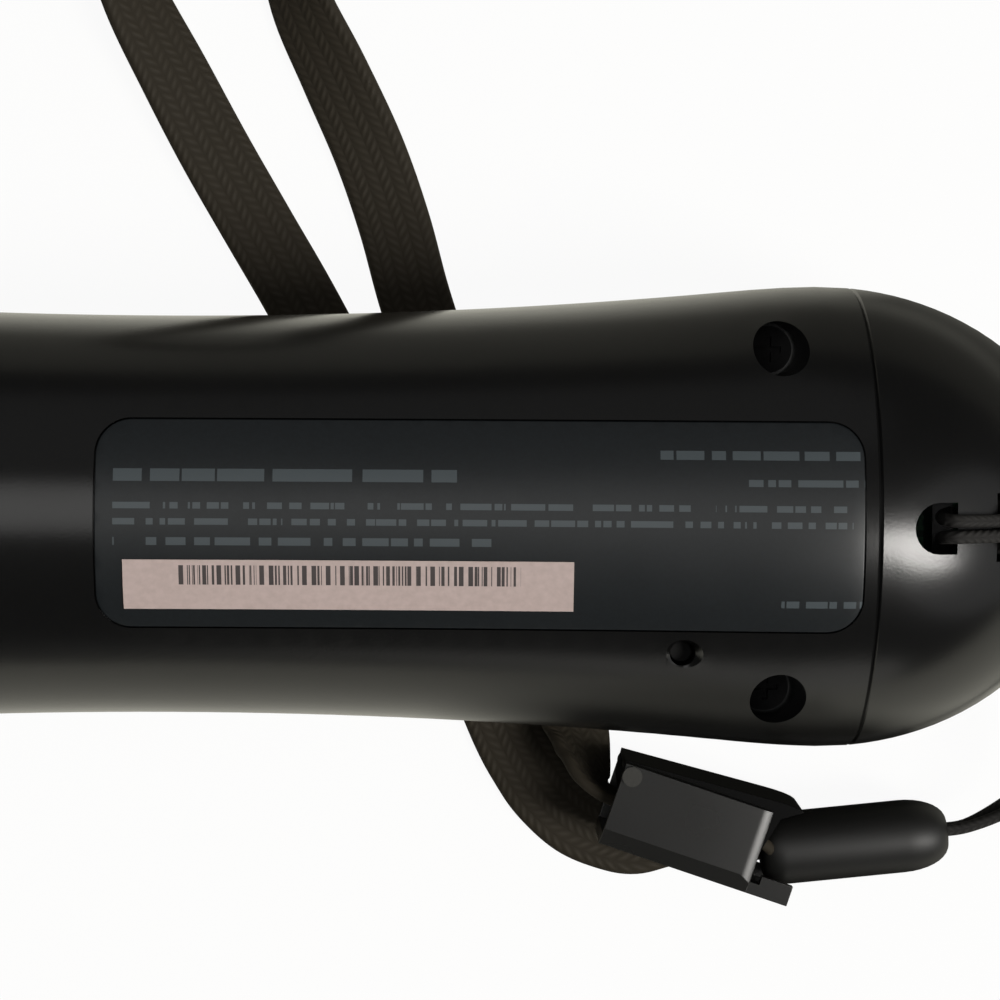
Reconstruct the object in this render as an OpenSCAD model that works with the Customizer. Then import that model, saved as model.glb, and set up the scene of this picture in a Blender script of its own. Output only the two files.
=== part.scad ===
// Hand-held motion wand: a soft light ball on a waisted grip with keys, a trigger and a wrist strap.
// It lies on a table on its ball and tail, key side down and label side up.

/* [Ball and neck] */
// Diameter of the light ball
ball_d = 46; // [44:0.5:52]
// Wall of the hollow ball
ball_wall = 1.8; // [1.2:0.1:2.4]
// Diameter of the ring face that the ball sits on
seat_d = 31.8; // [30.5:0.1:33]
// Diameter of the ball's plug inside the neck ring
plug_d = 26.4; // [25:0.1:27]
// Length of the ball's plug
plug_len = 3.4; // [2.5:0.1:4.2]
// Length of the neck ring between the ball and the grip
ring_len = 5.4; // [5:0.1:7]
// Length of the neck ring's sleeve inside the grip
sleeve_len = 5; // [4.5:0.1:7]
// Height of the light guide's dome
guide_h = 9; // [6:0.5:12]
// Side of the square light chip
led_side = 5; // [3.5:0.5:7]

/* [Grip] */
// Length from the ball's tip to the tail face
total_len = 200; // [194:0.5:206]
// Diameter at the widest part of the tail
tail_d = 40; // [39:0.2:42]
// Diameter at the waist
waist_d = 34.4; // [33.6:0.2:36]
// Diameter at the widest part of the head
head_d = 41; // [40:0.2:43]
// Diameter where the grip meets the neck ring
neck_d = 33.2; // [32.6:0.2:34]
// Wall of the grip's shells and the tail cap
shell_wall = 2; // [1.7:0.1:2.2]
// Distance from the widest ring of the tail to the tail face
dome_len = 18.5; // [17.5:0.1:19.5]
// Half length of the full ellipse that the tail dome follows
dome_reach = 23.5; // [23:0.1:25]
// Diameter of the flat tail face
flat_d = 20.6; // [20:0.1:22]
// Distance from the waist to the widest ring of the tail
waist_back = 57; // [55:0.5:58]
// Distance from the neck to the widest ring of the head
head_past = 22; // [21:0.5:23]
// Distance from the widest ring of the tail to the cap seam
seam_past = 2.5; // [2:0.1:3]

/* [Label] */
// Length of the label film
label_len = 62; // [50:0.5:63]
// Width of the label film, straight across
label_w = 17; // [14:0.2:19]
// Corner radius of the label film
label_r = 2.8; // [1:0.1:4]
// Distance from the label to the cap seam
label_back = 1.3; // [1:0.1:3]
// Thickness of the label film
label_t = 0.32; // [0.2:0.02:0.5]
// Length of the pale sticker
sticker_len = 36.5; // [20:0.5:44]
// Width of the pale sticker
sticker_w = 4.1; // [3:0.1:5]
// Thickness of the pale sticker
sticker_t = 0.1; // [0.06:0.02:0.2]

/* [Casing screws] */
// Diameter of the screw wells
well_d = 4.6; // [4.3:0.1:5]
// Wall of the tubes round the wells
well_wall = 1.2; // [0.9:0.1:1.4]
// Distance of the tail wells from the cap seam
well_back = 7.4; // [7:0.1:8]
// Distance of the tail wells from the middle
well_y = 14.5; // [14:0.1:14.8]
// Distance of the head wells from the nearest action keys
head_well_past = 8.5; // [8.3:0.1:9]
// Distance of the head wells from the middle
head_well_y = 13; // [12.4:0.1:13.4]
// Shank diameter of the casing screws
screw_d = 2; // [1.8:0.1:2.4]
// Head diameter of the casing screws
screw_head_d = 4; // [3.4:0.1:4.1]
// Length of the casing screws under the head
screw_len = 8; // [7:0.5:9]
// Thickness of the tail cap's screw lugs
lug_t = 1.8; // [1.4:0.1:2.2]

/* [Reset] */
// Diameter of the reset hole
reset_d = 2.1; // [1.8:0.05:2.4]
// Diameter of the reset hole's chamfered rim
reset_rim_d = 3; // [2.8:0.05:3.6]
// Distance of the reset hole from the cap seam
reset_back = 15.5; // [14.5:0.1:16.5]
// Distance of the reset hole from the middle
reset_y = 10.5; // [10.3:0.1:11]

/* [Strap slots] */
// Distance of the first slot from the cap seam
slot_past = 2.8; // [2.5:0.1:3.2]
// Length of the first slot
slot_len = 3.6; // [3.2:0.1:3.8]
// Width of the first slot
slot_w = 4.2; // [3.8:0.1:4.8]
// Length of the bar that holds the strap
bar_len = 3.5; // [3.1:0.1:3.6]
// Length of the second slot
exit_len = 3.3; // [3:0.1:3.6]
// Width of the second slot
exit_w = 5.6; // [5.2:0.1:6.4]

/* [Keys] */
// Length of the main key
main_len = 22; // [18:0.5:22]
// Width of the main key
main_w = 14; // [11:0.2:14.4]
// Distance of the main key from the widest ring of the head
main_past = 10; // [9:0.5:11]
// Diameter of the action keys
action_d = 7; // [5.5:0.1:7.4]
// Distance between the two rows of action keys
action_pitch = 13; // [11:0.5:14]
// Diameter of the system key
home_d = 6.5; // [5:0.1:7.5]
// Distance of the system key from the main key
home_past = 21; // [20:0.5:22]
// Length of the side keys
side_len = 10; // [7:0.5:12]
// Width of the side keys
side_w = 3.4; // [2.8:0.1:3.8]
// Angle of the side keys from the middle of the front
side_angle = 78; // [76:0.5:79]
// Height of the keys above the grip
key_proud = 0.9; // [0.6:0.05:1.2]
// Clearance round each key
key_gap = 0.3; // [0.2:0.05:0.4]
// Width of the lip that holds each key in
key_lip = 0.7; // [0.6:0.05:0.8]
// Press of the main key
main_travel = 1.2; // [0.8:0.1:1.4]
// Press of the action and system keys
key_travel = 0.8; // [0.5:0.05:0.9]
// Press of the side keys
side_travel = 0.6; // [0.4:0.05:0.7]
// Diameter of the status window
status_d = 1.6; // [1.2:0.1:2.4]

/* [Trigger] */
// Width of the trigger
trigger_w = 13; // [11:0.2:13.4]
// Distance from the trigger pin to the trigger's far end
trigger_reach = 29.5; // [28:0.2:30]
// Distance from the trigger pin back to the widest ring of the head
pivot_back = 14; // [13.5:0.1:14.5]
// Depth of the trigger pin under the skin of the head
pivot_depth = 8; // [7.8:0.1:8.6]
// Diameter of the trigger pin
pin_d = 2.4; // [2:0.1:2.6]
// Height of the trigger's tip above the trigger pin
tip_rise = 12.8; // [11:0.2:13.4]
// Thickness of the trigger frame
frame_t = 1.6; // [1.2:0.1:1.8]
// Outer diameter of the trigger spring
spring_d = 5; // [4:0.2:5.6]
// Wire diameter of the trigger spring
wire_d = 0.6; // [0.5:0.05:0.7]
// Turns of the trigger spring
spring_turns = 5; // [4:1:6]

/* [Inside] */
// Thickness of the circuit boards
board_t = 1.2; // [0.8:0.1:1.4]
// Width of the main board
board_w = 18.8; // [18:0.2:19]
// Length of the main board
board_len = 55; // [54:0.5:56]
// Length of the battery
battery_len = 56; // [44:0.5:57]
// Width of the battery
battery_w = 20; // [16:0.5:21]
// Height of the battery
battery_h = 11; // [8:0.2:11.4]
// Thickness of the battery tray
tray_t = 1.2; // [1:0.1:1.4]
// Diameter of the vibration motor
motor_d = 9; // [7.5:0.1:9.4]
// Length of the vibration motor
motor_len = 12; // [10:0.2:12.6]
// Diameter of the vibration motor's shaft
shaft_d = 1.5; // [1.2:0.1:2]
// Width of the charging socket
socket_w = 7.7; // [7.5:0.1:8.2]
// Height of the charging socket
socket_h = 3.9; // [3.8:0.1:4.4]
// Width of the accessory socket
port_w = 13; // [10:0.2:13.4]
// Height of the accessory socket
port_h = 4.4; // [4:0.1:4.6]
// Diameter of the charging contacts
contact_d = 2.2; // [1.6:0.1:2.6]

/* [Strap] */
// Diameter of the strap cord
cord_d = 1.1; // [0.9:0.05:1.15]
// Width of the strap webbing
webbing_w = 6.8; // [6:0.1:6.9]
// Thickness of the strap webbing
webbing_t = 1.1; // [0.8:0.05:1.15]
// Diameter of the strap connector
connector_d = 6.7; // [6:0.1:7]
// Length of the strap connector
connector_len = 17.4; // [16:0.2:17.6]
// Width of the strap lock
lock_w = 10.6; // [10.4:0.1:12]
// Width of the chamfer along the lever's outer edges
lever_chamfer = 1.6; // [1:0.1:2]
// Length of the lock lever without its tab
lever_len = 13.3; // [12:0.1:13.4]
// Length of the lever's finger tab
tab_len = 4; // [2:0.2:4.4]
// Diameter of the lock pin
lock_pin_d = 1.2; // [1:0.05:1.3]

/* [Hidden] */
$fn = 64;

// Depth of the seam grooves between casing parts
groove = 0.2;
// Clearances: faces that meet, parts that slide in, parts that run, and moving neighbours
touch = 0.05;
slip = 0.1;
run_fit = 0.04;
clear = 0.35;
// Longer than any cut
far = 60;

// Radii and stations along the axis, counted from the ball's centre towards the tail
ball_r = ball_d / 2;
seat_r = seat_d / 2;
plug_r = plug_d / 2;
tail_r = tail_d / 2;
waist_r = waist_d / 2;
head_r = head_d / 2;
neck_r = neck_d / 2;
ring_s = sqrt(ball_r * ball_r - seat_r * seat_r);
neck_s = ring_s + ring_len;
head_s = neck_s + head_past;
end_s = total_len - ball_r;
tail_s = end_s - dome_len;
seam_s = tail_s + seam_past;
// Places between the widest rings of head and tail are given for this distance and stretch with it
drawn_run = 114.5;
stretch = (tail_s - head_s) / drawn_run;
waist_s = tail_s - waist_back * stretch;

// The grip's outline: station, radius and slope, joined by smooth curves
grip_share = 0.29;
grip_back = 31.5 * stretch;
flare_share = 0.73;
flare_back = 11.1 * stretch;
neck_slope = 0.45;
grip_r = waist_r + grip_share * (head_r - waist_r);
flare_r = waist_r + flare_share * (tail_r - waist_r);
flare_run = waist_back * stretch - flare_back;
stations = [
  [neck_s, neck_r, neck_slope],
  [head_s, head_r, 0],
  [waist_s - grip_back, grip_r, -2 * (grip_r - waist_r) / grip_back],
  [waist_s, waist_r, 0],
  [tail_s - flare_back, flare_r, 2 * (flare_r - waist_r) / flare_run],
  [tail_s, tail_r, 0]];

// The lie on the table: the axis drops towards the narrower tail
tilt = asin((ball_r - tail_r) / tail_s);
flat_r = flat_d / 2;
tail_x = end_s * cos(tilt) + flat_r * sin(tilt);
ball_x = (ball_r - tail_x) / 2;

function hermite(p, q, s) =
  let (d = q[0] - p[0], t = (s - p[0]) / d, u = 1 - t)
  p[1] * (1 + 2 * t) * u * u + p[2] * d * t * u * u + q[1] * t * t * (3 - 2 * t) - q[2] * d * t * t * u;
function station_at(s) = max([for (i = [0 : len(stations) - 2]) if (i == 0 || stations[i][0] <= s) i]);
function ellipse_r(r, reach, u) = r * sqrt(max(0, 1 - u * u / (reach * reach)));
function skin(s) = s > tail_s ? ellipse_r(tail_r, dome_reach, s - tail_s)
  : let (i = station_at(s)) hermite(stations[i], stations[i + 1], s);
function steps(a, b, step) = let (n = max(1, ceil((b - a) / step))) [for (i = [0 : n]) a + (b - a) * i / n];
function skin_line(a, b, inset, step) = [for (s = steps(a, b, step)) [skin(s) - inset, s]];
function reversed(v) = [for (i = [len(v) - 1 : -1 : 0]) v[i]];
function bezier(p, c, q, n) =
  [for (i = [0 : n]) let (t = i / n, u = 1 - t) u * u * p + 2 * t * u * c + t * t * q];
// Height of a skin of the given radius over a point to the side of the axis
function over(r, y) = sqrt(r * r - y * y);
// A point of the wand's own frame, laid on the table
function laid(p) =
  [ball_x + p[0] * cos(tilt) + p[2] * sin(tilt), p[1], ball_r - p[0] * sin(tilt) + p[2] * cos(tilt)];

module lay() translate([ball_x, 0, ball_r]) rotate([0, tilt, 0]) children();
module revolve(points) rotate([0, 90, 0]) rotate_extrude() polygon(points);
module skin_solid(a, b, inset) revolve(concat([[0, a]], skin_line(a, b, inset, 5), [[0, b]]));
module skin_shell(a, b, outer, inner, step = 2.5)
  revolve(concat(skin_line(a, b, outer, step), reversed(skin_line(a, b, inner, 2 * step))));
module half(side) intersection() {
  children();
  translate([-far, -far, side > 0 ? 0 : -far]) cube([2 * far + total_len, 2 * far, far]);
}
module capsule(length, width) {
  square([length - width, width], center = true);
  for (x = [-1, 1]) translate([x * (length - width) / 2, 0]) circle(d = width);
}
module rounded_rect(length, width, r) {
  square([length - 2 * r, width], center = true);
  square([length, width - 2 * r], center = true);
  for (x = [-1, 1], y = [-1, 1]) translate([x * (length / 2 - r), y * (width / 2 - r)]) circle(r);
}
module box(from, to) translate(from) cube(to - from);
// A rod between two points
module rod(p, q, d) {
  v = q - p;
  translate(p) rotate([0, acos(v[2] / norm(v)), atan2(v[1], v[0])]) cylinder(d = d, h = norm(v));
}

// Colours
black = [0.07, 0.07, 0.075];
gloss = [0.03, 0.03, 0.035];
grey = [0.42, 0.43, 0.43];
steel = [0.62, 0.62, 0.64];
green = [0.07, 0.27, 0.14];
gold = [0.8, 0.62, 0.25];

// Trigger places
pivot_s = head_s - pivot_back;
pivot_z = head_r - pivot_depth;
window_s = pivot_s + 1.6;
ear_y = trigger_w / 2 + 0.5;
bridge_z = 3;
bridge_top = bridge_z + frame_t;
hub_r = pin_d / 2 + 1.2;
under_z = pivot_z - 1.4;
pocket_depth = 1.5;
spring_s = pivot_s + 16;
frame_post_s = pivot_s + trigger_reach + 3.6;
frame_post_r = 2.5;
frame_end = frame_post_s + 3;
ear_s = neck_s + sleeve_len + clear;
ear_reach = 22;
ear_end = pivot_s + ear_reach;

// Reset places
reset_s = seam_s - reset_back;
reset_top = over(skin(reset_s), reset_y);
reset_lean = asin(reset_y / skin(reset_s));
reset_travel = 0.25;
reset_sink = 2.6;

// Board levels, as heights in the wand's frame
main_board_z = -6;
main_board_s = head_s - 7;
board_post_r = 2;
board_end = main_board_s + board_len * stretch;
board_posts = [[main_board_s + 2.5, 0], [board_end - 4, 5], [board_end - 4, -5]];
board_screw_d = 1.6;
board_screw_len = 5;
board_head_d = 3;
board_head_h = 0.9;
tail_board_top = 0.55;
tail_board_z = tail_board_top - board_t;
tail_board_back = 21;
tail_post_back = 13;
tail_post_y = 6;
tail_board_s = seam_s - tail_board_back * stretch;
tail_board_end = end_s - 3.5;
tail_board_w = 20.4;
tail_posts = [for (y = [-1, 1]) [seam_s - tail_post_back * stretch, tail_post_y * y]];

// Key places
main_s = head_s + main_past * stretch;
home_s = main_s + home_past * stretch;
status_past = 9 * stretch;
status_s = home_s + status_past;
action_rows = [main_s - action_pitch / 2 - 1, main_s + action_pitch / 2 - 1];
seat_gap = 0.25;
lip_t = 1;
key_reach = 13;
key_in = 11;
// The action keys stand far enough round the grip for their pressed lips to clear the main key's lip
lip_room = key_gap + key_lip;
lip_in_r = skin(action_rows[1]) - shell_wall - seat_gap - lip_t;
action_lip_r = action_d / 2 + lip_room;
main_lip_y = main_w / 2 + lip_room + key_gap;
lip_deep = over(lip_in_r, action_lip_r) - key_travel;
action_angle = atan(action_lip_r / lip_deep) + asin(main_lip_y / norm([lip_deep, action_lip_r]));
mat_t = 0.95;
mat_low = main_board_z - touch - mat_t;
pill_h = 1.4;
pill_gap = 0.15;
mat_w = 18.4;
action_pill = 12;
action_pill_h = 1;
action_stem_d = 2.4;
action_stem = action_pill + pill_gap + key_travel;
function action_turn(i) = i < 2 ? action_angle : -action_angle;
side_face_y = 9.9;
side_switch = [6, 3.9, 3.8];
side_stem = side_face_y + 0.9 + side_travel;

// Casing screws: well places, seats and shanks
well_r = well_d / 2;
well_s = seam_s - well_back;
head_well_s = action_rows[1] + head_well_past;
lug_z = lug_t / 2 + touch;
wells = [for (y = [-1, 1]) each [[well_s, y * well_y, lug_z], [head_well_s, y * head_well_y, touch]]];
well_floor = 1.55;
screw_head_h = 1.5;
shank_gap = 0.2;

// Battery, tray and motor places
cell_len = battery_len * stretch;
battery_s = waist_s + 4 * stretch - cell_len / 2;
battery_z = -1.5;
tray_top = battery_z - slip;
tray_z = tray_top - tray_t;
tray_lip = 3.5;
tray_ribs = [waist_s - 5 * stretch, waist_s + 14 * stretch];
rib_t = 2;
motor_s = waist_s + 20.5 * stretch;
motor_z = tray_z - 1.1 - motor_d / 2;
saddles = [motor_s + 1.5, motor_s + motor_len - 3.5];
weight_r = motor_d / 2 + 0.3;
weight_len = 6;
weight_gap = 1.5;

// Tail sockets
socket_len = 9.2;
socket_z = tail_board_top + touch;
port_len = 10;
port_z = tail_board_z - touch - port_h;
socket_wall = 0.4;
port_gap = 0.2;
end_wall = 2;
contact_y = 7.2;
contact_z = 3.5;

// Both shells: bevelled at the neck and at the cap seam
shell_line = concat([[neck_r - groove, neck_s]], skin_line(neck_s + groove, seam_s - groove, 0, 2.8),
  [[skin(seam_s) - groove, seam_s]], reversed(skin_line(neck_s, seam_s, shell_wall, 7)));
// A groove in the rear shell's edge along the seam between the shells
module seam_groove() intersection() {
  skin_shell(neck_s - 1, seam_s + 1, -1, groove, 5);
  box([neck_s - 2, -far, -1], [seam_s + 2, far, 1.5 * groove]);
}

module rear_shell() color(black) lay() difference() {
  union() {
    half(1) revolve(shell_line);
    half(1) intersection() {
      skin_solid(neck_s, seam_s, shell_wall / 2);
      union() {
        for (w = wells) translate(w) cylinder(r = well_r + well_wall, h = far);
        translate([frame_post_s, 0, bridge_top + touch]) cylinder(r = frame_post_r, h = far);
      }
    }
  }
  for (w = wells) {
    translate(w + [0, 0, well_floor]) cylinder(d = well_d, h = far);
    translate(w - [0, 0, 1]) cylinder(d = screw_d + 2 * shank_gap, h = far);
  }
  intersection() {
    label_prism(slip);
    skin_shell(label_s - label_len / 2 - 1, seam_s, -1, label_t + slip);
  }
  translate([reset_s, -reset_y, 0]) cylinder(d = reset_d, h = far);
  translate([reset_s, -reset_y, reset_top]) rotate([reset_lean, 0, 0]) translate([0, 0, -1])
    cylinder(d1 = reset_rim_d - 2, d2 = reset_rim_d + 2, h = 2);
  box([window_s, -trigger_w / 2 - clear, pivot_z],
    [pivot_s + trigger_reach + clear, trigger_w / 2 + clear, far]);
  translate([frame_post_s, 0, 0])
    cylinder(d = board_screw_d + 2 * run_fit, h = bridge_z + board_screw_len + 1);
  seam_groove();
}

// The key openings, each with the given room round the key
module key_places(room) {
  main_outline(room);
  for (i = [0 : 3]) action_outline(i, room);
  home_outline(room);
  for (y = [-1, 1]) side_outline(y, room);
}
module at_key(s, angle) rotate([angle, 0, 0])
  translate([s, 0, -far]) linear_extrude(far - key_in) children();
module main_outline(room) at_key(main_s, 0) capsule(main_len + 2 * room, main_w + 2 * room);
module action_outline(i, room) at_key(action_rows[i % 2], action_turn(i)) circle(d = action_d + 2 * room);
module home_outline(room) at_key(home_s, 0) circle(d = home_d + 2 * room);
module side_outline(y, room) at_key(main_s, y * side_angle) capsule(side_len + 2 * room, side_w + 2 * room);

module front_shell() color(black) lay() difference() {
  union() {
    difference() {
      half(-1) revolve(shell_line);
      key_places(key_gap);
    }
    half(-1) intersection() {
      skin_solid(neck_s, seam_s, shell_wall / 2);
      union() {
        for (w = wells) translate([w[0], w[1], -far - w[2]]) cylinder(r = well_r + well_wall - 0.5, h = far);
        for (p = board_posts) translate([p[0], p[1], main_board_z - touch - far])
          cylinder(r = board_post_r, h = far);
        for (p = tail_posts) translate([p[0], p[1], tail_board_z - touch - far])
          cylinder(r = board_post_r, h = far);
        for (s = tray_ribs)
          box([s, 1 - battery_w / 2, -far], [s + rib_t, battery_w / 2 - 1, tray_z - touch]);
        for (s = saddles) box([s, -motor_d / 2 - 1, -far], [s + rib_t, motor_d / 2 + 1, motor_z]);
      }
    }
  }
  for (w = wells) translate([w[0], w[1], -w[2] - screw_len]) cylinder(d = screw_d + 2 * run_fit, h = far);
  for (p = board_posts) translate([p[0], p[1], main_board_z - board_screw_len])
    cylinder(d = board_screw_d + 2 * run_fit, h = board_screw_len + 1);
  for (p = tail_posts) translate([p[0], p[1], tail_board_z - board_screw_len])
    cylinder(d = board_screw_d + 2 * run_fit, h = board_screw_len + 1);
  translate([motor_s - 1, 0, motor_z]) rotate([0, 90, 0]) cylinder(d = motor_d + 2 * slip, h = motor_len + 2);
  translate([status_s, 0, -far]) cylinder(d = status_d + 2 * slip, h = far + mat_low);
}

// Tail cap: dome, spigot inside the shells, screw lugs, strap slots with their bar, and sockets
slot_s = seam_s + slot_past;
bar_s = slot_s + slot_len;
exit_s = bar_s + bar_len;
inner_reach = dome_reach - shell_wall;
round_s = end_s - 1.5;
spigot_r = skin(seam_s) - shell_wall - slip;
spigot_in = spigot_r - 1.2;
spigot_len = 3;
lug_r = 3;
cap_floor = end_s - end_wall;
// From the seam over the dome to the rounded edge of the tail face
dome_line = concat([[skin(seam_s) - groove, seam_s]],
  [for (s = steps(seam_s + groove, round_s, 1.2)) if (s < round_s - touch) [skin(s), s]]);
round_line = bezier([skin(round_s), round_s], [skin(end_s), end_s], [flat_r, end_s], 6);
inner_line = [for (s = steps(seam_s + spigot_len, cap_floor, 1.8))
  [ellipse_r(tail_r - shell_wall, inner_reach, s - tail_s), s]];
spigot_line = [[spigot_in, seam_s + spigot_len], [spigot_in, seam_s - spigot_len],
  [spigot_r, seam_s - spigot_len], [spigot_r, seam_s]];
// First slot: round towards the seam and straight along the bar
slot_outline = concat(
  [for (a = [90 : 15 : 270]) [slot_w / 2 * (1 + cos(a)), slot_w / 2 * sin(a)]],
  [[slot_len, -slot_w / 2], [slot_len, slot_w / 2]]);

module tail_cap() color(black) lay() difference() {
  union() {
    revolve(concat(dome_line, round_line, [[0, end_s], [0, cap_floor]], reversed(inner_line), spigot_line));
    for (y = [-1, 1]) translate([well_s, y * well_y, -lug_t / 2]) {
      cylinder(r = lug_r, h = lug_t);
      translate([0, -lug_r + 0.4, 0]) cube([well_back - 0.5, 2 * lug_r - 0.8, lug_t]);
    }
  }
  for (y = [-1, 1]) translate([well_s, y * well_y, -lug_t])
    cylinder(d = screw_d + 2 * shank_gap, h = 2 * lug_t);
  translate([slot_s, 0, tail_r / 2]) linear_extrude(tail_r) polygon(slot_outline);
  box([exit_s, -exit_w / 2, tail_r / 2], [exit_s + exit_len, exit_w / 2, tail_r + 5]);
  box([cap_floor - 1, -socket_w / 2 - port_gap, socket_z - port_gap],
    [end_s + 1, socket_w / 2 + port_gap, socket_z + socket_h + port_gap]);
  box([cap_floor - 1, -port_w / 2 - port_gap, port_z - port_gap],
    [end_s + 1, port_w / 2 + port_gap, port_z + port_h + port_gap]);
  for (y = [-1, 1]) translate([cap_floor - 1, y * contact_y, contact_z]) rotate([0, 90, 0])
    cylinder(d = contact_d + 2 * touch, h = end_wall + 2);
}

module neck_ring() color(gloss) lay() revolve([
  [plug_r + slip, ring_s], [seat_r + 0.3, ring_s], [seat_r + 0.6, ring_s + 0.4],
  [neck_r - groove / 4, neck_s - groove], [neck_r - groove, neck_s],
  [neck_r - shell_wall - slip, neck_s], [neck_r - shell_wall - slip, neck_s + sleeve_len],
  [plug_r + slip, neck_s + sleeve_len]]);

// Ball: outer sphere down to its seat, plug in the ring, and the hollow inside
ball_inner = ball_r - ball_wall;
plug_inner = plug_r - ball_wall;
floor_t = 1.2;
floor_s = ring_s - floor_t;
seat_turn = atan2(seat_r, ring_s);
floor_turn = acos(floor_s / ball_inner);
ball_turns = 36;
function arc(r, from, to) =
  [for (i = [0 : ball_turns]) let (a = from + (to - from) * i / ball_turns) [r * sin(a), r * cos(a)]];
module ball() color([0.93, 0.93, 0.9]) lay() revolve(concat(
  arc(ball_r, 180, seat_turn),
  [[plug_r, ring_s], [plug_r, ring_s + plug_len], [plug_inner, ring_s + plug_len], [plug_inner, floor_s]],
  arc(ball_inner, floor_turn, 180)));

// Light guide: a flange under the ball's plug, a dome inside the ball, hollow over the chip
guide_s = ring_s + plug_len + touch;
guide_flange = 1.6;
guide_r = plug_inner - 0.6;
guide_wall = 1.6;
led_h = 1.4;
light_board_s = guide_s + guide_flange + touch;
function guide_line(r, h) = [for (i = [0 : 12]) let (a = 90 * i / 12) [r * cos(a), guide_s - h * sin(a)]];
module light_guide() color([0.85, 0.87, 0.88]) lay() revolve(concat(
  [[guide_r - guide_wall, guide_s + guide_flange], [plug_r, guide_s + guide_flange], [plug_r, guide_s]],
  guide_line(guide_r, guide_h), reversed(guide_line(guide_r - guide_wall, guide_h - guide_wall))));
module light_board() color(green) lay() translate([light_board_s, 0, 0]) rotate([0, 90, 0])
  cylinder(r = plug_r, h = board_t);
module light_chip() color([0.9, 0.9, 0.85]) lay()
  translate([light_board_s - led_h, -led_side / 2, -led_side / 2]) cube([led_h, led_side, led_side]);

label_s = seam_s - label_back - label_len / 2;
sticker_s = label_s - 10.5;
sticker_y = -4.9;
module label_prism(room) translate([label_s, 0, 0]) linear_extrude(far)
  rounded_rect(label_len + 2 * room, label_w + 2 * room, label_r + room);
module label_film() color([0.1, 0.11, 0.13]) lay() intersection() {
  label_prism(0);
  skin_shell(label_s - label_len / 2 - 1, seam_s, touch, label_t + touch);
}
module pale_sticker() color([0.75, 0.71, 0.7]) lay() intersection() {
  translate([sticker_s, sticker_y, 0]) linear_extrude(far) square([sticker_len, sticker_w], center = true);
  skin_shell(sticker_s - sticker_len / 2 - 1, sticker_s + sticker_len / 2 + 1, 0.02 - sticker_t, 0.02);
}

module casing_screws() color(steel) lay() for (w = wells) translate(w + [0, 0, well_floor]) difference() {
  union() {
    translate([0, 0, touch]) cylinder(d = screw_head_d, h = screw_head_h);
    translate([0, 0, touch - screw_len]) cylinder(d = screw_d, h = screw_len);
  }
  for (turn = [0, 90]) rotate(turn) translate([0, 0, screw_head_h]) cube([2.2, 0.5, 1.6], center = true);
}

// One key: cap through the shell, lip behind it and a stem towards its switch
module key(s, angle, stem_d, stem_tip) {
  intersection() {
    children(0);
    rotate([angle, 0, 0]) skin_shell(s - key_reach, s + key_reach, -key_proud, shell_wall + seat_gap + lip_t);
  }
  intersection() {
    children(1);
    rotate([angle, 0, 0])
      skin_shell(s - key_reach, s + key_reach, shell_wall + seat_gap, shell_wall + seat_gap + lip_t);
  }
  rotate([angle, 0, 0]) translate([s, 0, -skin(s) + shell_wall + 0.5])
    cylinder(d = stem_d, h = skin(s) - shell_wall - 0.5 - stem_tip);
}
pill_tip = -mat_low + pill_h;
module main_key() color(gloss) lay() key(main_s, 0, 5, pill_tip + pill_gap + main_travel) {
  main_outline(0);
  main_outline(lip_room);
}
module action_key(i) color(gloss) lay() key(action_rows[i % 2], action_turn(i), action_stem_d, action_stem) {
  action_outline(i, 0);
  action_outline(i, lip_room);
}
module system_key() color(gloss) lay() key(home_s, 0, 3, pill_tip + pill_gap + key_travel) {
  home_outline(0);
  home_outline(lip_room);
}
module side_key(y) color(gloss) lay() key(main_s, y * side_angle, action_stem_d, side_stem) {
  side_outline(y, 0);
  side_outline(y, lip_room);
}
module status_window() color([0.6, 0.1, 0.1]) lay() intersection() {
  translate([status_s, 0, -far]) cylinder(d = status_d, h = far);
  skin_shell(status_s - 3, status_s + 3, touch, shell_wall + 0.6);
}

module key_mat() color([0.55, 0.55, 0.52]) lay() {
  box([main_s - main_len / 2 + 1, -mat_w / 2, mat_low], [home_s + 4.5, mat_w / 2, mat_low + mat_t]);
  for (s = [main_s, home_s]) translate([s, 0, mat_low - pill_h]) cylinder(d = 3.2, h = pill_h + mat_t / 2);
  for (i = [0 : 3]) rotate([action_turn(i), 0, 0])
    translate([action_rows[i % 2], 0, -action_pill]) cylinder(d = action_stem_d, h = action_pill_h);
}
module side_switches() color([0.25, 0.25, 0.27]) lay() for (y = [-1, 1])
  translate([main_s, y * (side_face_y - side_switch[1] / 2), chip_z + side_switch[2] / 2])
    cube(side_switch, center = true);

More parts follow.
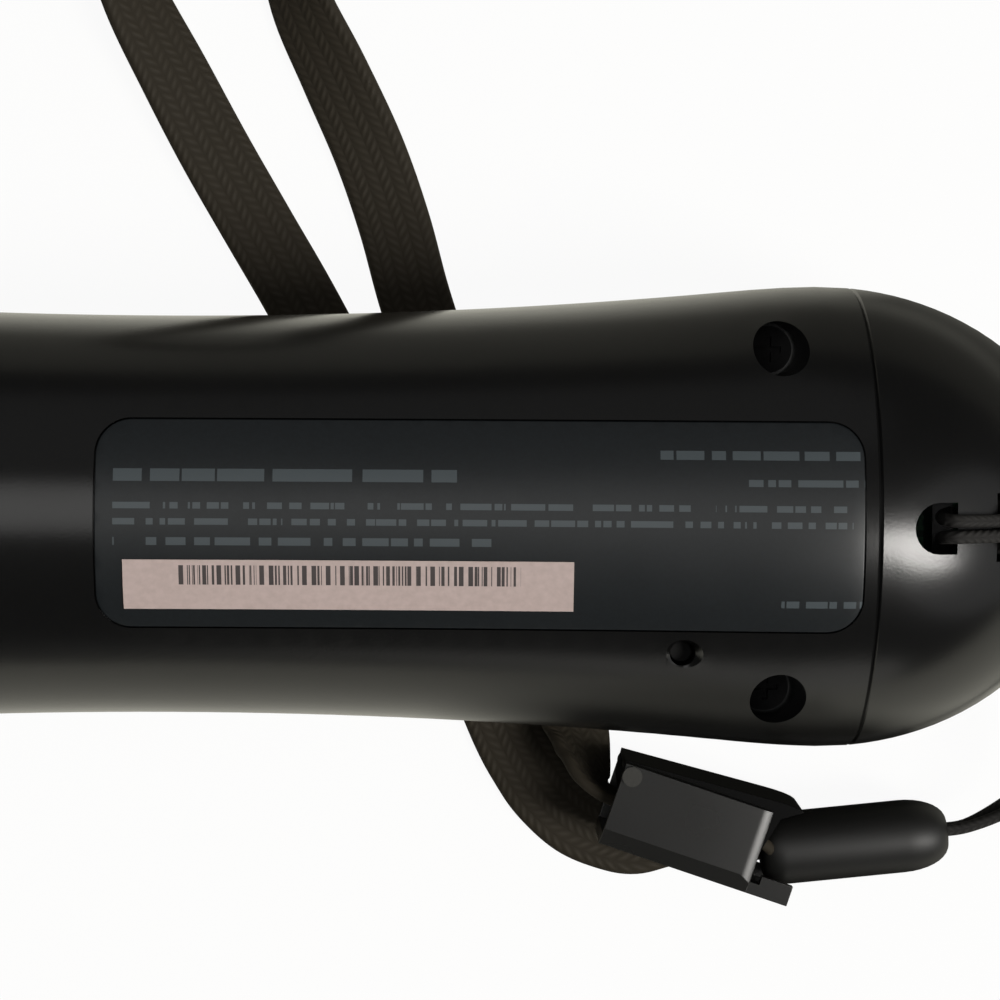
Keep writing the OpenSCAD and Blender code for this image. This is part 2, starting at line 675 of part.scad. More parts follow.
// Trigger: hub on the pin, finger curve to the tip, and a far end that turns about the pin
trigger_front = [pivot_s + 2, skin(pivot_s + 2) - 0.5];
trigger_tip = [pivot_s + trigger_reach - 5, pivot_z + tip_rise];
trigger_heel = [pivot_s + trigger_reach - 1, pivot_z + tip_rise - 2.4];
finger_line = bezier(trigger_front, [pivot_s + trigger_reach / 2 + 3, skin(head_s) + 0.2], trigger_tip, 12);
heel_curve = bezier(trigger_tip, trigger_tip + [2.4, 0.9], trigger_heel, 5);
heel_line = [for (i = [1 : len(heel_curve) - 1]) heel_curve[i]];
module trigger() color(black) lay() difference() {
  union() {
    translate([pivot_s, trigger_w / 2, pivot_z]) rotate([90, 0, 0]) cylinder(r = hub_r, h = trigger_w);
    intersection() {
      rotate([90, 0, 0]) linear_extrude(trigger_w, center = true)
        polygon(concat([[pivot_s, under_z], [pivot_s, pivot_z + 1], [pivot_s + 2, pivot_z + hub_r]],
          finger_line, heel_line, [[pivot_s + trigger_reach + 2, pivot_z + 6],
            [pivot_s + trigger_reach + 2, pivot_z], [spring_s, under_z]]));
      translate([pivot_s, far, pivot_z]) rotate([90, 0, 0]) cylinder(r = trigger_reach, h = 2 * far);
    }
  }
  translate([pivot_s, far, pivot_z]) rotate([90, 0, 0]) cylinder(d = pin_d + 2 * run_fit, h = 2 * far);
  translate([spring_s, 0, under_z - 1]) cylinder(d = spring_d + 1, h = pocket_depth + 1);
}
module trigger_pin() color(steel) lay() translate([pivot_s, ear_y + frame_t, pivot_z]) rotate([90, 0, 0])
  cylinder(d = pin_d, h = 2 * (ear_y + frame_t));
module trigger_frame() color([0.2, 0.2, 0.22]) lay() difference() {
  intersection() {
    skin_solid(neck_s + 1, frame_end + 5, shell_wall + seat_gap);
    union() {
      for (y = [-1, 1]) translate([0, y * (ear_y + frame_t / 2), 0]) rotate([90, 0, 0])
        linear_extrude(frame_t, center = true) polygon([[ear_s, bridge_z], [ear_end, bridge_z],
          [ear_end, bridge_z + 3], [pivot_s + 4, pivot_z + 4], [ear_s, pivot_z + 4]]);
      box([ear_s, -ear_y - frame_t, bridge_z], [ear_end, ear_y + frame_t, bridge_top]);
      box([ear_end - 2, -4, bridge_z], [frame_end, 4, bridge_top]);
    }
  }
  translate([pivot_s, far, pivot_z]) rotate([90, 0, 0]) cylinder(d = pin_d + 2 * run_fit, h = 2 * far);
  translate([frame_post_s, 0, 0]) cylinder(d = board_screw_d + 2 * slip, h = bridge_top + 1);
}
module trigger_sensor() color([0.15, 0.15, 0.16]) lay()
  box([pivot_s + 4, -3, bridge_top + touch], [pivot_s + 10, 3, bridge_top + 2]);

// Sweeps: rings of points joined into one closed skin of triangles
function unit(v) = v / norm(v);
function heading(p, i) = unit(p[min(i + 1, len(p) - 1)] - p[max(i - 1, 0)]);
function square_to(n, t) = unit(n - (n * t) * t);
function sides_along(p, first) = [for (i = 0, n = square_to(first, heading(p, 0)); i < len(p);
  i = i + 1, n = square_to(n, heading(p, min(i, len(p) - 1)))) n];
function tube_rings(p, d, first, count) = let (n = sides_along(p, first))
  [for (i = [0 : len(p) - 1]) let (b = cross(heading(p, i), n[i])) [for (k = [0 : count - 1])
    p[i] + d / 2 * (cos(360 * k / count) * n[i] + sin(360 * k / count) * b)]];
module sweep(rings) {
  m = len(rings[0]);
  last = len(rings) - 1;
  walls = [for (i = [0 : last - 1], k = [0 : m - 1]) let (a = i * m + k, b = i * m + (k + 1) % m)
    each [[a, a + m, b], [b, a + m, b + m]]];
  caps = [for (k = [1 : m - 2]) each [[0, k, k + 1], [last * m, last * m + k + 1, last * m + k]]];
  polyhedron([for (r = rings) each r], concat(walls, caps));
}

coil_r = (spring_d - wire_d) / 2;
coil_low = bridge_top + touch + wire_d / 2;
coil_high = under_z + pocket_depth - touch - wire_d / 2;
coil = [for (i = [0 : spring_turns * 8]) let (a = 45 * i, t = i / (spring_turns * 8))
  [spring_s + coil_r * cos(a), coil_r * sin(a), coil_low + (coil_high - coil_low) * t]];
module trigger_spring() color(steel) lay() sweep(tube_rings(coil, wire_d, [0, 0, 1], 6));

module reset_button() color([0.3, 0.3, 0.32]) lay() translate([reset_s, -reset_y, 0]) {
  translate([0, 0, reset_low]) cylinder(d = reset_d - 0.4, h = reset_top - reset_sink - reset_low);
  translate([0, 0, reset_top - reset_sink - 4.5]) cylinder(d = reset_d + 1.4, h = 0.8);
}
reset_switch_h = 2;
reset_low = tail_board_top + touch + reset_switch_h + pill_gap + reset_travel;
module reset_switch() color([0.2, 0.2, 0.2]) lay()
  box([reset_s - 1.6, -reset_y - 1.6, tail_board_top + touch],
    [reset_s + 1.6, -reset_y + 1.6, tail_board_top + touch + reset_switch_h]);

module main_board() color(green) lay() difference() {
  box([main_board_s, -board_w / 2, main_board_z], [board_end, board_w / 2, main_board_z + board_t]);
  for (p = board_posts) translate([p[0], p[1], main_board_z - 1])
    cylinder(d = board_screw_d + 2 * slip, h = board_t + 2);
}
chip_z = main_board_z + board_t + touch;
// Chips: share of the board's length, place to the side, and size
chips = [[0.19, 0, [7, 7, 1]], [0.51, -2, [6, 6, 1.2]], [0.51, 5, [4, 4, 1]]];
lead_back = 5.5;
lead_s = battery_s - lead_back * stretch;
lead_plug = [4, 6, 2.6];
lead_y = 1.2;
lead_d = 1;
lead_z = battery_z + 0.6 * battery_h;
module chip(s, y, size) translate([s, y, chip_z + size[2] / 2]) cube(size, center = true);
module board_chips() color([0.12, 0.12, 0.13]) lay() {
  for (c = chips) chip(main_board_s + c[0] * (board_end - main_board_s), c[1], c[2]);
  chip(lead_s, 0, lead_plug);
}
module battery_lead() color([0.6, 0.08, 0.07]) lay() for (y = [-1, 1])
  rod([lead_s, lead_y * y, chip_z + lead_plug[2] + 0.4], [battery_s - 0.75, lead_y * y, lead_z], lead_d);
module board_screws() color(steel) lay() {
  for (p = board_posts) translate([p[0], p[1], main_board_z + board_t + touch]) board_screw();
  for (p = tail_posts) translate([p[0], p[1], tail_board_top + touch]) board_screw();
  translate([frame_post_s, 0, bridge_z - touch]) mirror([0, 0, 1]) board_screw();
}
module board_screw() {
  cylinder(d = board_head_d, h = board_head_h);
  translate([0, 0, -board_screw_len]) cylinder(d = board_screw_d, h = board_screw_len + board_head_h / 2);
}
module battery() color([0.16, 0.17, 0.2]) lay()
  translate([battery_s, 0, battery_z + battery_h / 2]) rotate([90, 0, 90]) linear_extrude(cell_len)
    rounded_rect(battery_w, battery_h, 2);
module battery_tray() color([0.18, 0.18, 0.19]) lay() {
  end = battery_s + cell_len + slip;
  box([battery_s - slip - tray_t, -battery_w / 2, tray_z], [end + tray_t, battery_w / 2, tray_top]);
  for (s = [battery_s - slip - tray_t, end])
    box([s, -battery_w / 2, tray_z], [s + tray_t, battery_w / 2, battery_z + tray_lip]);
}

module vibration_motor() color(steel) lay() translate([motor_s, 0, motor_z]) rotate([0, 90, 0]) difference() {
  cylinder(d = motor_d, h = motor_len);
  translate([0, 0, motor_len - 5]) cylinder(d = shaft_d + 2 * run_fit, h = 6);
}
module vibration_weight() color([0.5, 0.5, 0.5]) lay() {
  translate([motor_s + motor_len, 0, motor_z]) rotate([0, 90, 0]) {
    translate([0, 0, -4.5]) cylinder(d = shaft_d, h = 4.5 + weight_gap + weight_len);
    translate([0, 0, weight_gap]) intersection() {
      cylinder(r = weight_r, h = weight_len);
      translate([-shaft_d / 2, -weight_r, 0]) cube([weight_r + shaft_d, 2 * weight_r, weight_len]);
    }
  }
}

module tail_board() color(green) lay() difference() {
  union() {
    box([tail_board_s, -tail_board_w / 2, tail_board_z], [tail_board_end, tail_board_w / 2, tail_board_top]);
    box([reset_s - 3, -reset_y - 1.9, tail_board_z], [reset_s + 3, 0, tail_board_top]);
  }
  for (p = tail_posts) translate([p[0], p[1], tail_board_z - 1])
    cylinder(d = board_screw_d + 2 * slip, h = board_t + 2);
}
// A socket open towards the tail, with a contact tongue inside
module socket(w, h, length, z, tongue) translate([end_s - touch - length, -w / 2, z]) {
  difference() {
    cube([length, w, h]);
    translate([1.5, socket_wall, socket_wall]) cube([length, w - 2 * socket_wall, h - 2 * socket_wall]);
  }
  translate([1, w / 2 - tongue / 2, h / 2 - 0.35]) cube([length - 3, tongue, 0.7]);
}
module charging_socket() color(steel) lay() socket(socket_w, socket_h, socket_len, socket_z, socket_w - 2.4);
module accessory_socket() color([0.16, 0.16, 0.17]) lay()
  socket(port_w, port_h, port_len, port_z, port_w - 3);
module charging_contacts() color(gold) lay() for (y = [-1, 1])
  translate([end_s - 6, y * contact_y, contact_z]) rotate([0, 90, 0]) cylinder(d = contact_d, h = 5.8);

// Strap lock: its own frame has X along the strap, Y towards the wand and Z along the pin
lock_at = [65.8, -24.1];
lock_turn = -18.5;
lock_lift = 1.6;
lock_z = lock_lift + lock_w / 2;
cheek_t = 0.85;
lever_in = lock_w / 2 - cheek_t;
sleeve_out = lever_in - 0.15;
sleeve_wall = 0.75;
plate_low = -6.9;
plate_t = 1.1;
tab_t = 0.7;
tab_rise = 1.9;
tab_half = lock_w / 2 - 0.7 * lever_chamfer;
tab_in = tab_half - cheek_t;
lip_len = 1.1;
lip_drop = 0.45;
sleeve_floor = -4.6;
sleeve_front = -0.9;
sleeve_mouth = 0.6;
sleeve_over = 0.4;
sleeve_end = lever_len - sleeve_over;
back_wall = 0.45;
sleeve_back = lock_pin_d / 2 + slip + back_wall;
// The sleeve's shoulder reaches over the end of the connector
shoulder_root = [sleeve_end + 1.3, sleeve_back - 1.5];
shoulder_tip = [sleeve_end + 3.2, sleeve_back - 0.35];
shoulder_top = bezier(shoulder_tip, [shoulder_tip[0] - 0.6, sleeve_back], [sleeve_end, sleeve_back], 4);
shoulder_line = concat(bezier(shoulder_root, shoulder_root + [1, 0.6], shoulder_tip, 4),
  [for (i = [1 : len(shoulder_top) - 1]) shoulder_top[i]]);
// The lever rests a little open from the sleeve
sleeve_turn = 3.5;
lever_start = -0.85;
lever_top = 1;
pin_head_d = 1.8;
pin_head_h = 0.3;
cam_r = 1.4;
module at_lock() translate([lock_at[0], lock_at[1], lock_z]) rotate(lock_turn) children();
// Lever: a channel whose outer edges and far end are chamfered, with a finger tab
module lock_lever() color(grey) at_lock() difference() {
  union() {
    intersection() {
      box([lever_start, plate_low, -lock_w], [lever_len, lever_top, lock_w]);
      rotate([90, 0, 90]) translate([0, 0, lever_start - 1]) linear_extrude(far)
        polygon([[lever_top, -lock_w / 2], [lever_top, lock_w / 2], [plate_low + lever_chamfer, lock_w / 2],
          [plate_low, tab_half], [plate_low, -tab_half],
          [plate_low + lever_chamfer, -lock_w / 2]]);
      rotate([-90, 0, 0]) linear_extrude(far, center = true)
        polygon([[lever_start, -lock_w / 2], [lever_len - lip_len, -lock_w / 2],
          [lever_len, lip_drop - lock_w / 2], [lever_len, lock_w / 2 - lip_drop],
          [lever_len - lip_len, lock_w / 2], [lever_start, lock_w / 2]]);
    }
    box([lever_len - 1, plate_low, -tab_half], [lever_len + tab_len, plate_low + tab_rise, tab_half]);
  }
  box([lever_start - 1, plate_low + plate_t, -lever_in], [lever_len + 1, lever_top + 1, lever_in]);
  box([lever_len, plate_low + tab_t, -tab_in], [lever_len + tab_len + 1, lever_top, tab_in]);
  cylinder(d = lock_pin_d + 2 * run_fit, h = 2 * lock_w, center = true);
}
// Pin: round heads outside the lever and a cam towards the strap
module lock_pin() color(steel) at_lock() {
  cylinder(d = lock_pin_d, h = lock_w + pin_head_h, center = true);
  for (z = [-1, 1]) translate([0, 0, z * (lock_w / 2 + touch + pin_head_h / 2)])
    cylinder(d = pin_head_d, h = pin_head_h, center = true);
  intersection() {
    cylinder(r = cam_r, h = 2 * (sleeve_out - sleeve_wall) - 0.2, center = true);
    box([0, -cam_r, -lock_w], [cam_r, 0, lock_w]);
  }
}
module lock_sleeve() color(black) at_lock() rotate(sleeve_turn) difference() {
  linear_extrude(2 * sleeve_out, center = true) polygon(concat(
    [[sleeve_mouth, sleeve_floor], [sleeve_end, sleeve_floor]],
    shoulder_line, [[sleeve_front, sleeve_back], [sleeve_front, -sleeve_back]]));
  box([sleeve_front - 1, sleeve_floor + sleeve_wall, -sleeve_out + sleeve_wall],
    [lever_len + 2, sleeve_back - back_wall, sleeve_out - sleeve_wall]);
  cylinder(d = lock_pin_d + 2 * run_fit, h = 2 * lock_w, center = true);
}

// Strap connector: a rounded rod that the webbing enters at one end and the cord at the other
connector_at = [78, -31.8, 6.2];
connector_turn = 6;
nose_len = 4.2;
nose_r = 1.25;
heel_len = 2.4;
heel_r = 2;
connector_r = connector_d / 2;
module strap_connector() color(gloss) translate(connector_at) rotate(connector_turn) revolve(concat(
  [[0, 0], [heel_r, 0]],
  [for (a = [15 : 15 : 75])
    [heel_r + (connector_r - heel_r) * sin(a), heel_len * (1 - cos(a))]],
  [[connector_r, heel_len], [connector_r, connector_len - nose_len]],
  [for (a = [10 : 10 : 80])
    [nose_r + (connector_r - nose_r) * cos(a), connector_len - nose_len * (1 - sin(a))]],
  [[nose_r, connector_len], [0, connector_len]]));

// Webbing route: x, y, lean from flat to on edge, lift over the table and width share
webbing_route = [
  [81.4, -31.4, 0, 3.4, 0.6], [79.6, -31.2, 0, 1.8, 0.6], [78, -31.2, 0, 0.25, 0.75], [76.2, -31, 0, 0, 1],
  [72.6, -30.6, 0, 0, 1], [69.4, -31, 0, 0, 1], [66.6, -31.7, 0, 0, 1], [64.1, -31.3, 0, 0, 1],
  [61, -30, 0, 0, 1], [58.2, -27.5, 0, 0, 1], [56.4, -25, 0, 0, 1], [54.3, -21.1, 0, 0, 1],
  [51, -13, 0, 0, 1], [47.4, -5, 0, 0, 1], [43.4, 3, 0, 0, 1],
  [39.2, 11, 0, 0, 1], [34.8, 19.2, 0, 0, 1], [30.6, 26.4, 4, 0, 1], [26.7, 33.2, 10, 0, 1],
  [23, 40.2, 20, 0, 1], [19.5, 47, 34, 0, 1], [16.8, 54, 54, 0, 1], [15.2, 61, 74, 0, 1],
  [15.4, 68, 88, 0, 1],
  [18.2, 74, 90, 0, 1], [23, 76.4, 90, 0, 1], [27.6, 73.8, 90, 0, 1], [30.2, 67.8, 86, 0, 1],
  [31.6, 61, 68, 0, 1], [33, 54, 50, 0, 1], [34.8, 47, 34, 0, 1], [38, 40.2, 20, 0, 1],
  [41.2, 33.2, 10, 0, 1],
  [43.6, 26.4, 4, 0, 1], [45.6, 19.2, 0, 0, 1], [48.4, 11, 0, 0, 1], [51.6, 3, 0, 0, 1], [54.8, -5, 0, 0, 1],
  [57.8, -12, -5, 0, 1], [59.8, -17.4, -18, 0.2, 1], [61, -21, -34, 0.9, 1], [61.6, -23.4, -52, 2, 1],
  [62.3, -25.1, -74, 2.9, 1], [63.9, -26.6, -90, 3.4, 1], [67, -27.5, -90, 3.4, 1],
  [76.3, -30, -90, 3.4, 1], [78, -30.7, -90, 3, 0.8], [79.4, -31.1, -90, 2.7, 0.65]];
table_gap = 0.1;
webbing_line = [for (p = webbing_route)
  [p[0], p[1], table_gap + p[3] + (webbing_w * abs(sin(p[2])) + webbing_t * cos(p[2])) / 2]];
// Flat eight-sided section of the webbing
webbing_section = let (w = webbing_w / 2, t = webbing_t / 2)
  [[w, -t / 2], [w, t / 2], [w - t, t], [t - w, t], [-w, t / 2], [-w, -t / 2], [t - w, -t], [w - t, -t]];
webbing_rings = [for (i = [0 : len(webbing_route) - 1])
  let (along = heading(webbing_line, i), left = unit(cross([0, 0, 1], along)), up = cross(along, left),
    lean = webbing_route[i][2], wide = cos(lean) * left + sin(lean) * up, thick = cross(along, wide))
  [for (q = webbing_section) webbing_line[i] + webbing_route[i][4] * q[0] * wide + q[1] * thick]];
module strap_webbing() color([0.09, 0.085, 0.08]) sweep(webbing_rings);

// Cord route: both strands leave the connector together and hitch round the bar in the tail cap
cord_free = [[94.8, -29.8, 6.2], [97.2, -29.4, 6.25], [100.4, -27.8, 6.6], [103.2, -25.2, 8.7],
  [104.9, -21.6, 12.8], [105.4, -17.6, 18.2], [105, -13.2, 23.6], [103.8, -8.8, 28.4],
  [102, -4.6, 31.9], [100.2, -1.6, 33.9]];
cord_apart = [[0, 0, 0.65], [0, 0, 0.65], [0.2, -0.2, 0.6], [0.4, -0.3, 0.4], [0.6, -0.2, 0.15],
  [0.65, 0, 0], [0.65, 0, 0], [0.63, 0.15, 0], [0.55, 0.35, 0], [0.25, 0.6, 0]];
cord_hitch = [[175, 0.62, 15.5], [173, 0.62, 16.7], [171, 0.62, 17.8], [169, 0.62, 18.75],
  [167.3, 0.64, 19.35], [166.5, 0.7, 18.6], [166.35, 0.8, 17.2], [166.7, 0.95, 15.9],
  [167.8, 1.15, 14.9], [169.6, 1.45, 14.2],
  [171.3, 1.75, 13.75], [172.6, 1.9, 14.9], [173.1, 1.9, 16.6], [173.2, 1.35, 17.75]];
cord_bight = [173.2, 0, 18.1];
function strand(side) = concat(
  [for (i = [0 : len(cord_free) - 1]) cord_free[i] + side * cord_apart[i]],
  [for (p = cord_hitch) laid([p[0], side * p[1], p[2]])]);
cord_line = concat(strand(1), [laid(cord_bight)], reversed(strand(-1)));
module strap_cord() color([0.06, 0.06, 0.06]) sweep(tube_rings(cord_line, cord_d, [0, 0, 1], 8));

rear_shell();
front_shell();
tail_cap();
neck_ring();
ball();
light_guide();
light_board();
light_chip();
label_film();
pale_sticker();
casing_screws();
main_key();
action_key(0);  // action_key_1
action_key(1);  // action_key_2
action_key(2);  // action_key_3
action_key(3);  // action_key_4
system_key();
side_key(-1);  // side_key_left
side_key(1);  // side_key_right
status_window();
key_mat();
side_switches();
trigger();
trigger_pin();
trigger_spring();
trigger_frame();
trigger_sensor();
reset_button();
reset_switch();
main_board();
board_chips();
board_screws();
battery();
battery_tray();
battery_lead();
vibration_motor();
vibration_weight();
tail_board();
charging_socket();
accessory_socket();
charging_contacts();
strap_cord();
strap_connector();
strap_webbing();
lock_sleeve();
lock_lever();
lock_pin();
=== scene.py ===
# %% [markdown]
# A motion wand with a soft light ball lies on a white table, label side up, with its wrist strap.
# The solid model gives every piece its place and size. This lesson adds the camera, the strap's
# cloth, a wire spring, the finishes and the light, and leaves the solids where they are.

# %% Load the solid model
import math

import bmesh
import bpy
from mathutils import Matrix, Vector


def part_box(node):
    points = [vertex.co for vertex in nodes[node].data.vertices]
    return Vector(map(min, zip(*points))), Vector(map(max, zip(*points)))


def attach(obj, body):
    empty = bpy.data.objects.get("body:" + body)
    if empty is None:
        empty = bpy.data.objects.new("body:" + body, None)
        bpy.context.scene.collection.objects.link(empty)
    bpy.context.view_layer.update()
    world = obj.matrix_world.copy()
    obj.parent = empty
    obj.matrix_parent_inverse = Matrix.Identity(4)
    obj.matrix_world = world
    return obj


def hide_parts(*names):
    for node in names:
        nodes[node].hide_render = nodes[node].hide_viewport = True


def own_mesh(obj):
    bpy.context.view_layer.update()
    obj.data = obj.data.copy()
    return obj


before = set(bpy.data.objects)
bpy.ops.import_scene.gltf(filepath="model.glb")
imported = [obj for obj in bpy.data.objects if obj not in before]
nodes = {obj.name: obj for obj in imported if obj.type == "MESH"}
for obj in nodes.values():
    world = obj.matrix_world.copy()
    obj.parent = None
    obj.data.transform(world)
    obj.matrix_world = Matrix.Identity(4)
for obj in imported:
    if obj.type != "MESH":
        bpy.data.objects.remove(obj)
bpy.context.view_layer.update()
MM = 0.001

# %% [markdown]
# The picture looks almost straight down on the tail half of the wand. A long lens flattens the
# grip, so the camera stands about a quarter of a metre above the table with a narrow view. Three
# axes are written into one matrix, which fixes the small lean and the small roll of the camera.

# %% Camera over the tail
LENS_PIXELS = 2718
PICTURE_PIXELS = 1000
SENSOR = 36
CAMERA_AT = (53.68, 12.06, 257.22)
lean = math.radians(2.6)
roll = math.radians(0.3)
camera_data = bpy.data.cameras.new("table_camera")
camera_data.sensor_width = SENSOR
camera_data.lens = SENSOR * LENS_PIXELS / PICTURE_PIXELS
camera_data.clip_start = 0.01
camera = bpy.data.objects.new("table_camera", camera_data)
bpy.context.scene.collection.objects.link(camera)
bpy.context.scene.camera = camera
back = Vector((0, math.sin(lean), math.cos(lean)))
level_up = Vector((0, math.cos(lean), -math.sin(lean)))
right = math.cos(roll) * Vector((1, 0, 0)) + math.sin(roll) * level_up
up = back.cross(right)
turn = Matrix((right, up, back)).transposed().to_4x4()
camera.matrix_world = Matrix.Translation(Vector(CAMERA_AT) * MM) @ turn
print("lens", round(camera_data.lens, 2), "mm")

# %% [markdown]
# The strap is two soft things: flat woven webbing and a thin round cord. Both follow a route of
# points. A curve object could carry them, but the weave has to run along the cloth, so a strip of
# rings is swept along the route and each ring writes its own length into a UV map.

# %% Sweep a section along a route
def smooth_route(points, parts):
    """Points along a smooth curve through all the given points."""
    route = []
    last = len(points) - 1
    for i in range(last):
        p, q, r, s = (points[min(max(i + k, 0), last)] for k in (-1, 0, 1, 2))
        for step in range(parts):
            t = step / parts
            route.append(0.5 * (2 * q + (r - p) * t + (2 * p - 5 * q + 4 * r - s) * t * t
                                + (3 * q - p - 3 * r + s) * t ** 3))
    route.append(points[last])
    return route


def headings(route):
    last = len(route) - 1
    return [(route[min(i + 1, last)] - route[max(i - 1, 0)]).normalized() for i in range(last + 1)]


def route_length(route):
    return sum((b - a).length for a, b in zip(route, route[1:]))


def sweep_piece(name, rings, lengths, around):
    """A closed strip through the rings, with length and girth in metres as its UV map."""
    bm = bmesh.new()
    uv = bm.loops.layers.uv.new("cloth")
    rows = [[bm.verts.new(p) for p in ring] for ring in rings]
    count = len(rows[0])
    for i in range(len(rows) - 1):
        for k in range(count):
            n = (k + 1) % count
            face = bm.faces.new((rows[i][k], rows[i][n], rows[i + 1][n], rows[i + 1][k]))
            face.smooth = True
            for loop, (a, b) in zip(face.loops, ((i, k), (i, k + 1), (i + 1, k + 1), (i + 1, k))):
                loop[uv].uv = (lengths[a], around[b])
    bm.faces.new(reversed(rows[0]))
    bm.faces.new(rows[-1])
    bmesh.ops.recalc_face_normals(bm, faces=bm.faces)
    mesh = bpy.data.meshes.new(name)
    bm.to_mesh(mesh)
    bm.free()
    piece = bpy.data.objects.new(name, mesh)
    bpy.context.scene.collection.objects.link(piece)
    return piece


def running_lengths(route):
    lengths = [0.0]
    for a, b in zip(route, route[1:]):
        lengths.append(lengths[-1] + (b - a).length)
    return lengths


# %% [markdown]
# Webbing bends easily across its flat side and hardly at all along its edge, so where it turns
# back it rolls up on edge. Each point of its route has a lean from flat to upright, a lift over
# the table and a share of the full width, because the cloth is gathered inside the connector.

# %% Strap webbing
WEBBING_W = 6.8
WEBBING_T = 1.1
TABLE_GAP = 0.1
webbing_points = [
    (81.4, -31.4, 0, 3.4, 0.6), (79.6, -31.2, 0, 1.8, 0.6), (78, -31.2, 0, 0.25, 0.75),
    (76.2, -31, 0, 0, 1), (72.6, -30.6, 0, 0, 1), (69.4, -31, 0, 0, 1), (66.6, -31.7, 0, 0, 1),
    (64.1, -31.3, 0, 0, 1), (61, -30, 0, 0, 1), (58.2, -27.5, 0, 0, 1),
    (56.4, -25, 0, 0, 1), (54.3, -21.1, 0, 0, 1),
    (51, -13, 0, 0, 1), (47.4, -5, 0, 0, 1), (43.4, 3, 0, 0, 1), (39.2, 11, 0, 0, 1),
    (34.8, 19.2, 0, 0, 1), (30.6, 26.4, 4, 0, 1), (26.7, 33.2, 10, 0, 1), (23, 40.2, 20, 0, 1),
    (19.5, 47, 34, 0, 1), (16.8, 54, 54, 0, 1), (15.2, 61, 74, 0, 1), (15.4, 68, 88, 0, 1),
    (18.2, 74, 90, 0, 1), (23, 76.4, 90, 0, 1), (27.6, 73.8, 90, 0, 1), (30.2, 67.8, 86, 0, 1),
    (31.6, 61, 68, 0, 1), (33, 54, 50, 0, 1), (34.8, 47, 34, 0, 1), (38, 40.2, 20, 0, 1),
    (41.2, 33.2, 10, 0, 1), (43.6, 26.4, 4, 0, 1), (45.6, 19.2, 0, 0, 1), (48.4, 11, 0, 0, 1),
    (51.6, 3, 0, 0, 1), (54.8, -5, 0, 0, 1), (57.8, -12, -5, 0, 1), (59.8, -17.4, -18, 0.2, 1),
    (61, -21, -34, 0.9, 1), (61.6, -23.4, -52, 2, 1), (62.3, -25.1, -74, 2.9, 1),
    (63.9, -26.6, -90, 3.4, 1), (67, -27.5, -90, 3.4, 1), (76.3, -30, -90, 3.4, 1),
    (78, -30.7, -90, 3, 0.8), (79.4, -31.1, -90, 2.7, 0.65)]
WEBBING_PARTS = 8


def webbing_height(leaning, lift):
    a = math.radians(leaning)
    return TABLE_GAP + lift + (WEBBING_W * abs(math.sin(a)) + WEBBING_T * math.cos(a)) / 2


webbing_line = smooth_route(
    [Vector((x, y, webbing_height(a, h))) for x, y, a, h, w in webbing_points], WEBBING_PARTS)
webbing_lean = smooth_route([Vector((a, w)) for x, y, a, h, w in webbing_points], WEBBING_PARTS)
half_w = WEBBING_W / 2
half_t = WEBBING_T / 2
EDGE_FLAT = 0.2
EDGE_IN = 0.25
EDGE_ROUND = 0.7
EDGE_DROP = 0.08
shoulder_w = half_w - EDGE_IN
shoulder_t = half_t - EDGE_DROP
flat_w = half_w - EDGE_ROUND
webbing_section = [
    (half_w, -EDGE_FLAT), (half_w, EDGE_FLAT), (shoulder_w, shoulder_t), (flat_w, half_t),
    (half_w / 2, half_t), (0, half_t), (-half_w / 2, half_t), (-flat_w, half_t),
    (-shoulder_w, shoulder_t), (-half_w, EDGE_FLAT), (-half_w, -EDGE_FLAT), (-shoulder_w, -shoulder_t),
    (-flat_w, -half_t), (-half_w / 2, -half_t), (0, -half_t), (half_w / 2, -half_t),
    (flat_w, -half_t), (shoulder_w, -shoulder_t)]
webbing_rings = []
for point, along, (leaning, share) in zip(webbing_line, headings(webbing_line), webbing_lean):
    left = Vector((0, 0, 1)).cross(along).normalized()
    rise = along.cross(left)
    a = math.radians(leaning)
    wide = math.cos(a) * left + math.sin(a) * rise
    thick = along.cross(wide)
    webbing_rings.append([(point + share * q * wide + t * thick) * MM for q, t in webbing_section])
webbing_route = [p * MM for p in webbing_line]
webbing_girth = [q * MM for q, t in webbing_section]
webbing_girth.append(webbing_girth[0])
webbing = sweep_piece("strap_webbing_cloth", webbing_rings, running_lengths(webbing_route),
                      webbing_girth)
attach(webbing, "wand")
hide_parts("strap_webbing")
print("webbing", round(route_length(webbing_route), 4), "m")

# %% [markdown]
# The cord leaves the connector as two strands, runs over the tail and is hitched round the bar
# between the two slots. The wand lies slightly tilted, because its ball is wider than its tail, so
# the points of the hitch are given in the wand's own frame and laid on the table by one function.

# %% Strap cord
BALL_R = 23
TAIL_R = 20
TAIL_S = 158.5
END_S = 177
FLAT_R = 10.3
CORD_D = 1.1
tilt = math.asin((BALL_R - TAIL_R) / TAIL_S)
ball_x = (BALL_R - END_S * math.cos(tilt) - FLAT_R * math.sin(tilt)) / 2


def laid(s, y, z):
    """A point of the wand's own frame, laid on the table, in millimetres."""
    return Vector((ball_x + s * math.cos(tilt) + z * math.sin(tilt), y,
                   BALL_R - s * math.sin(tilt) + z * math.cos(tilt)))


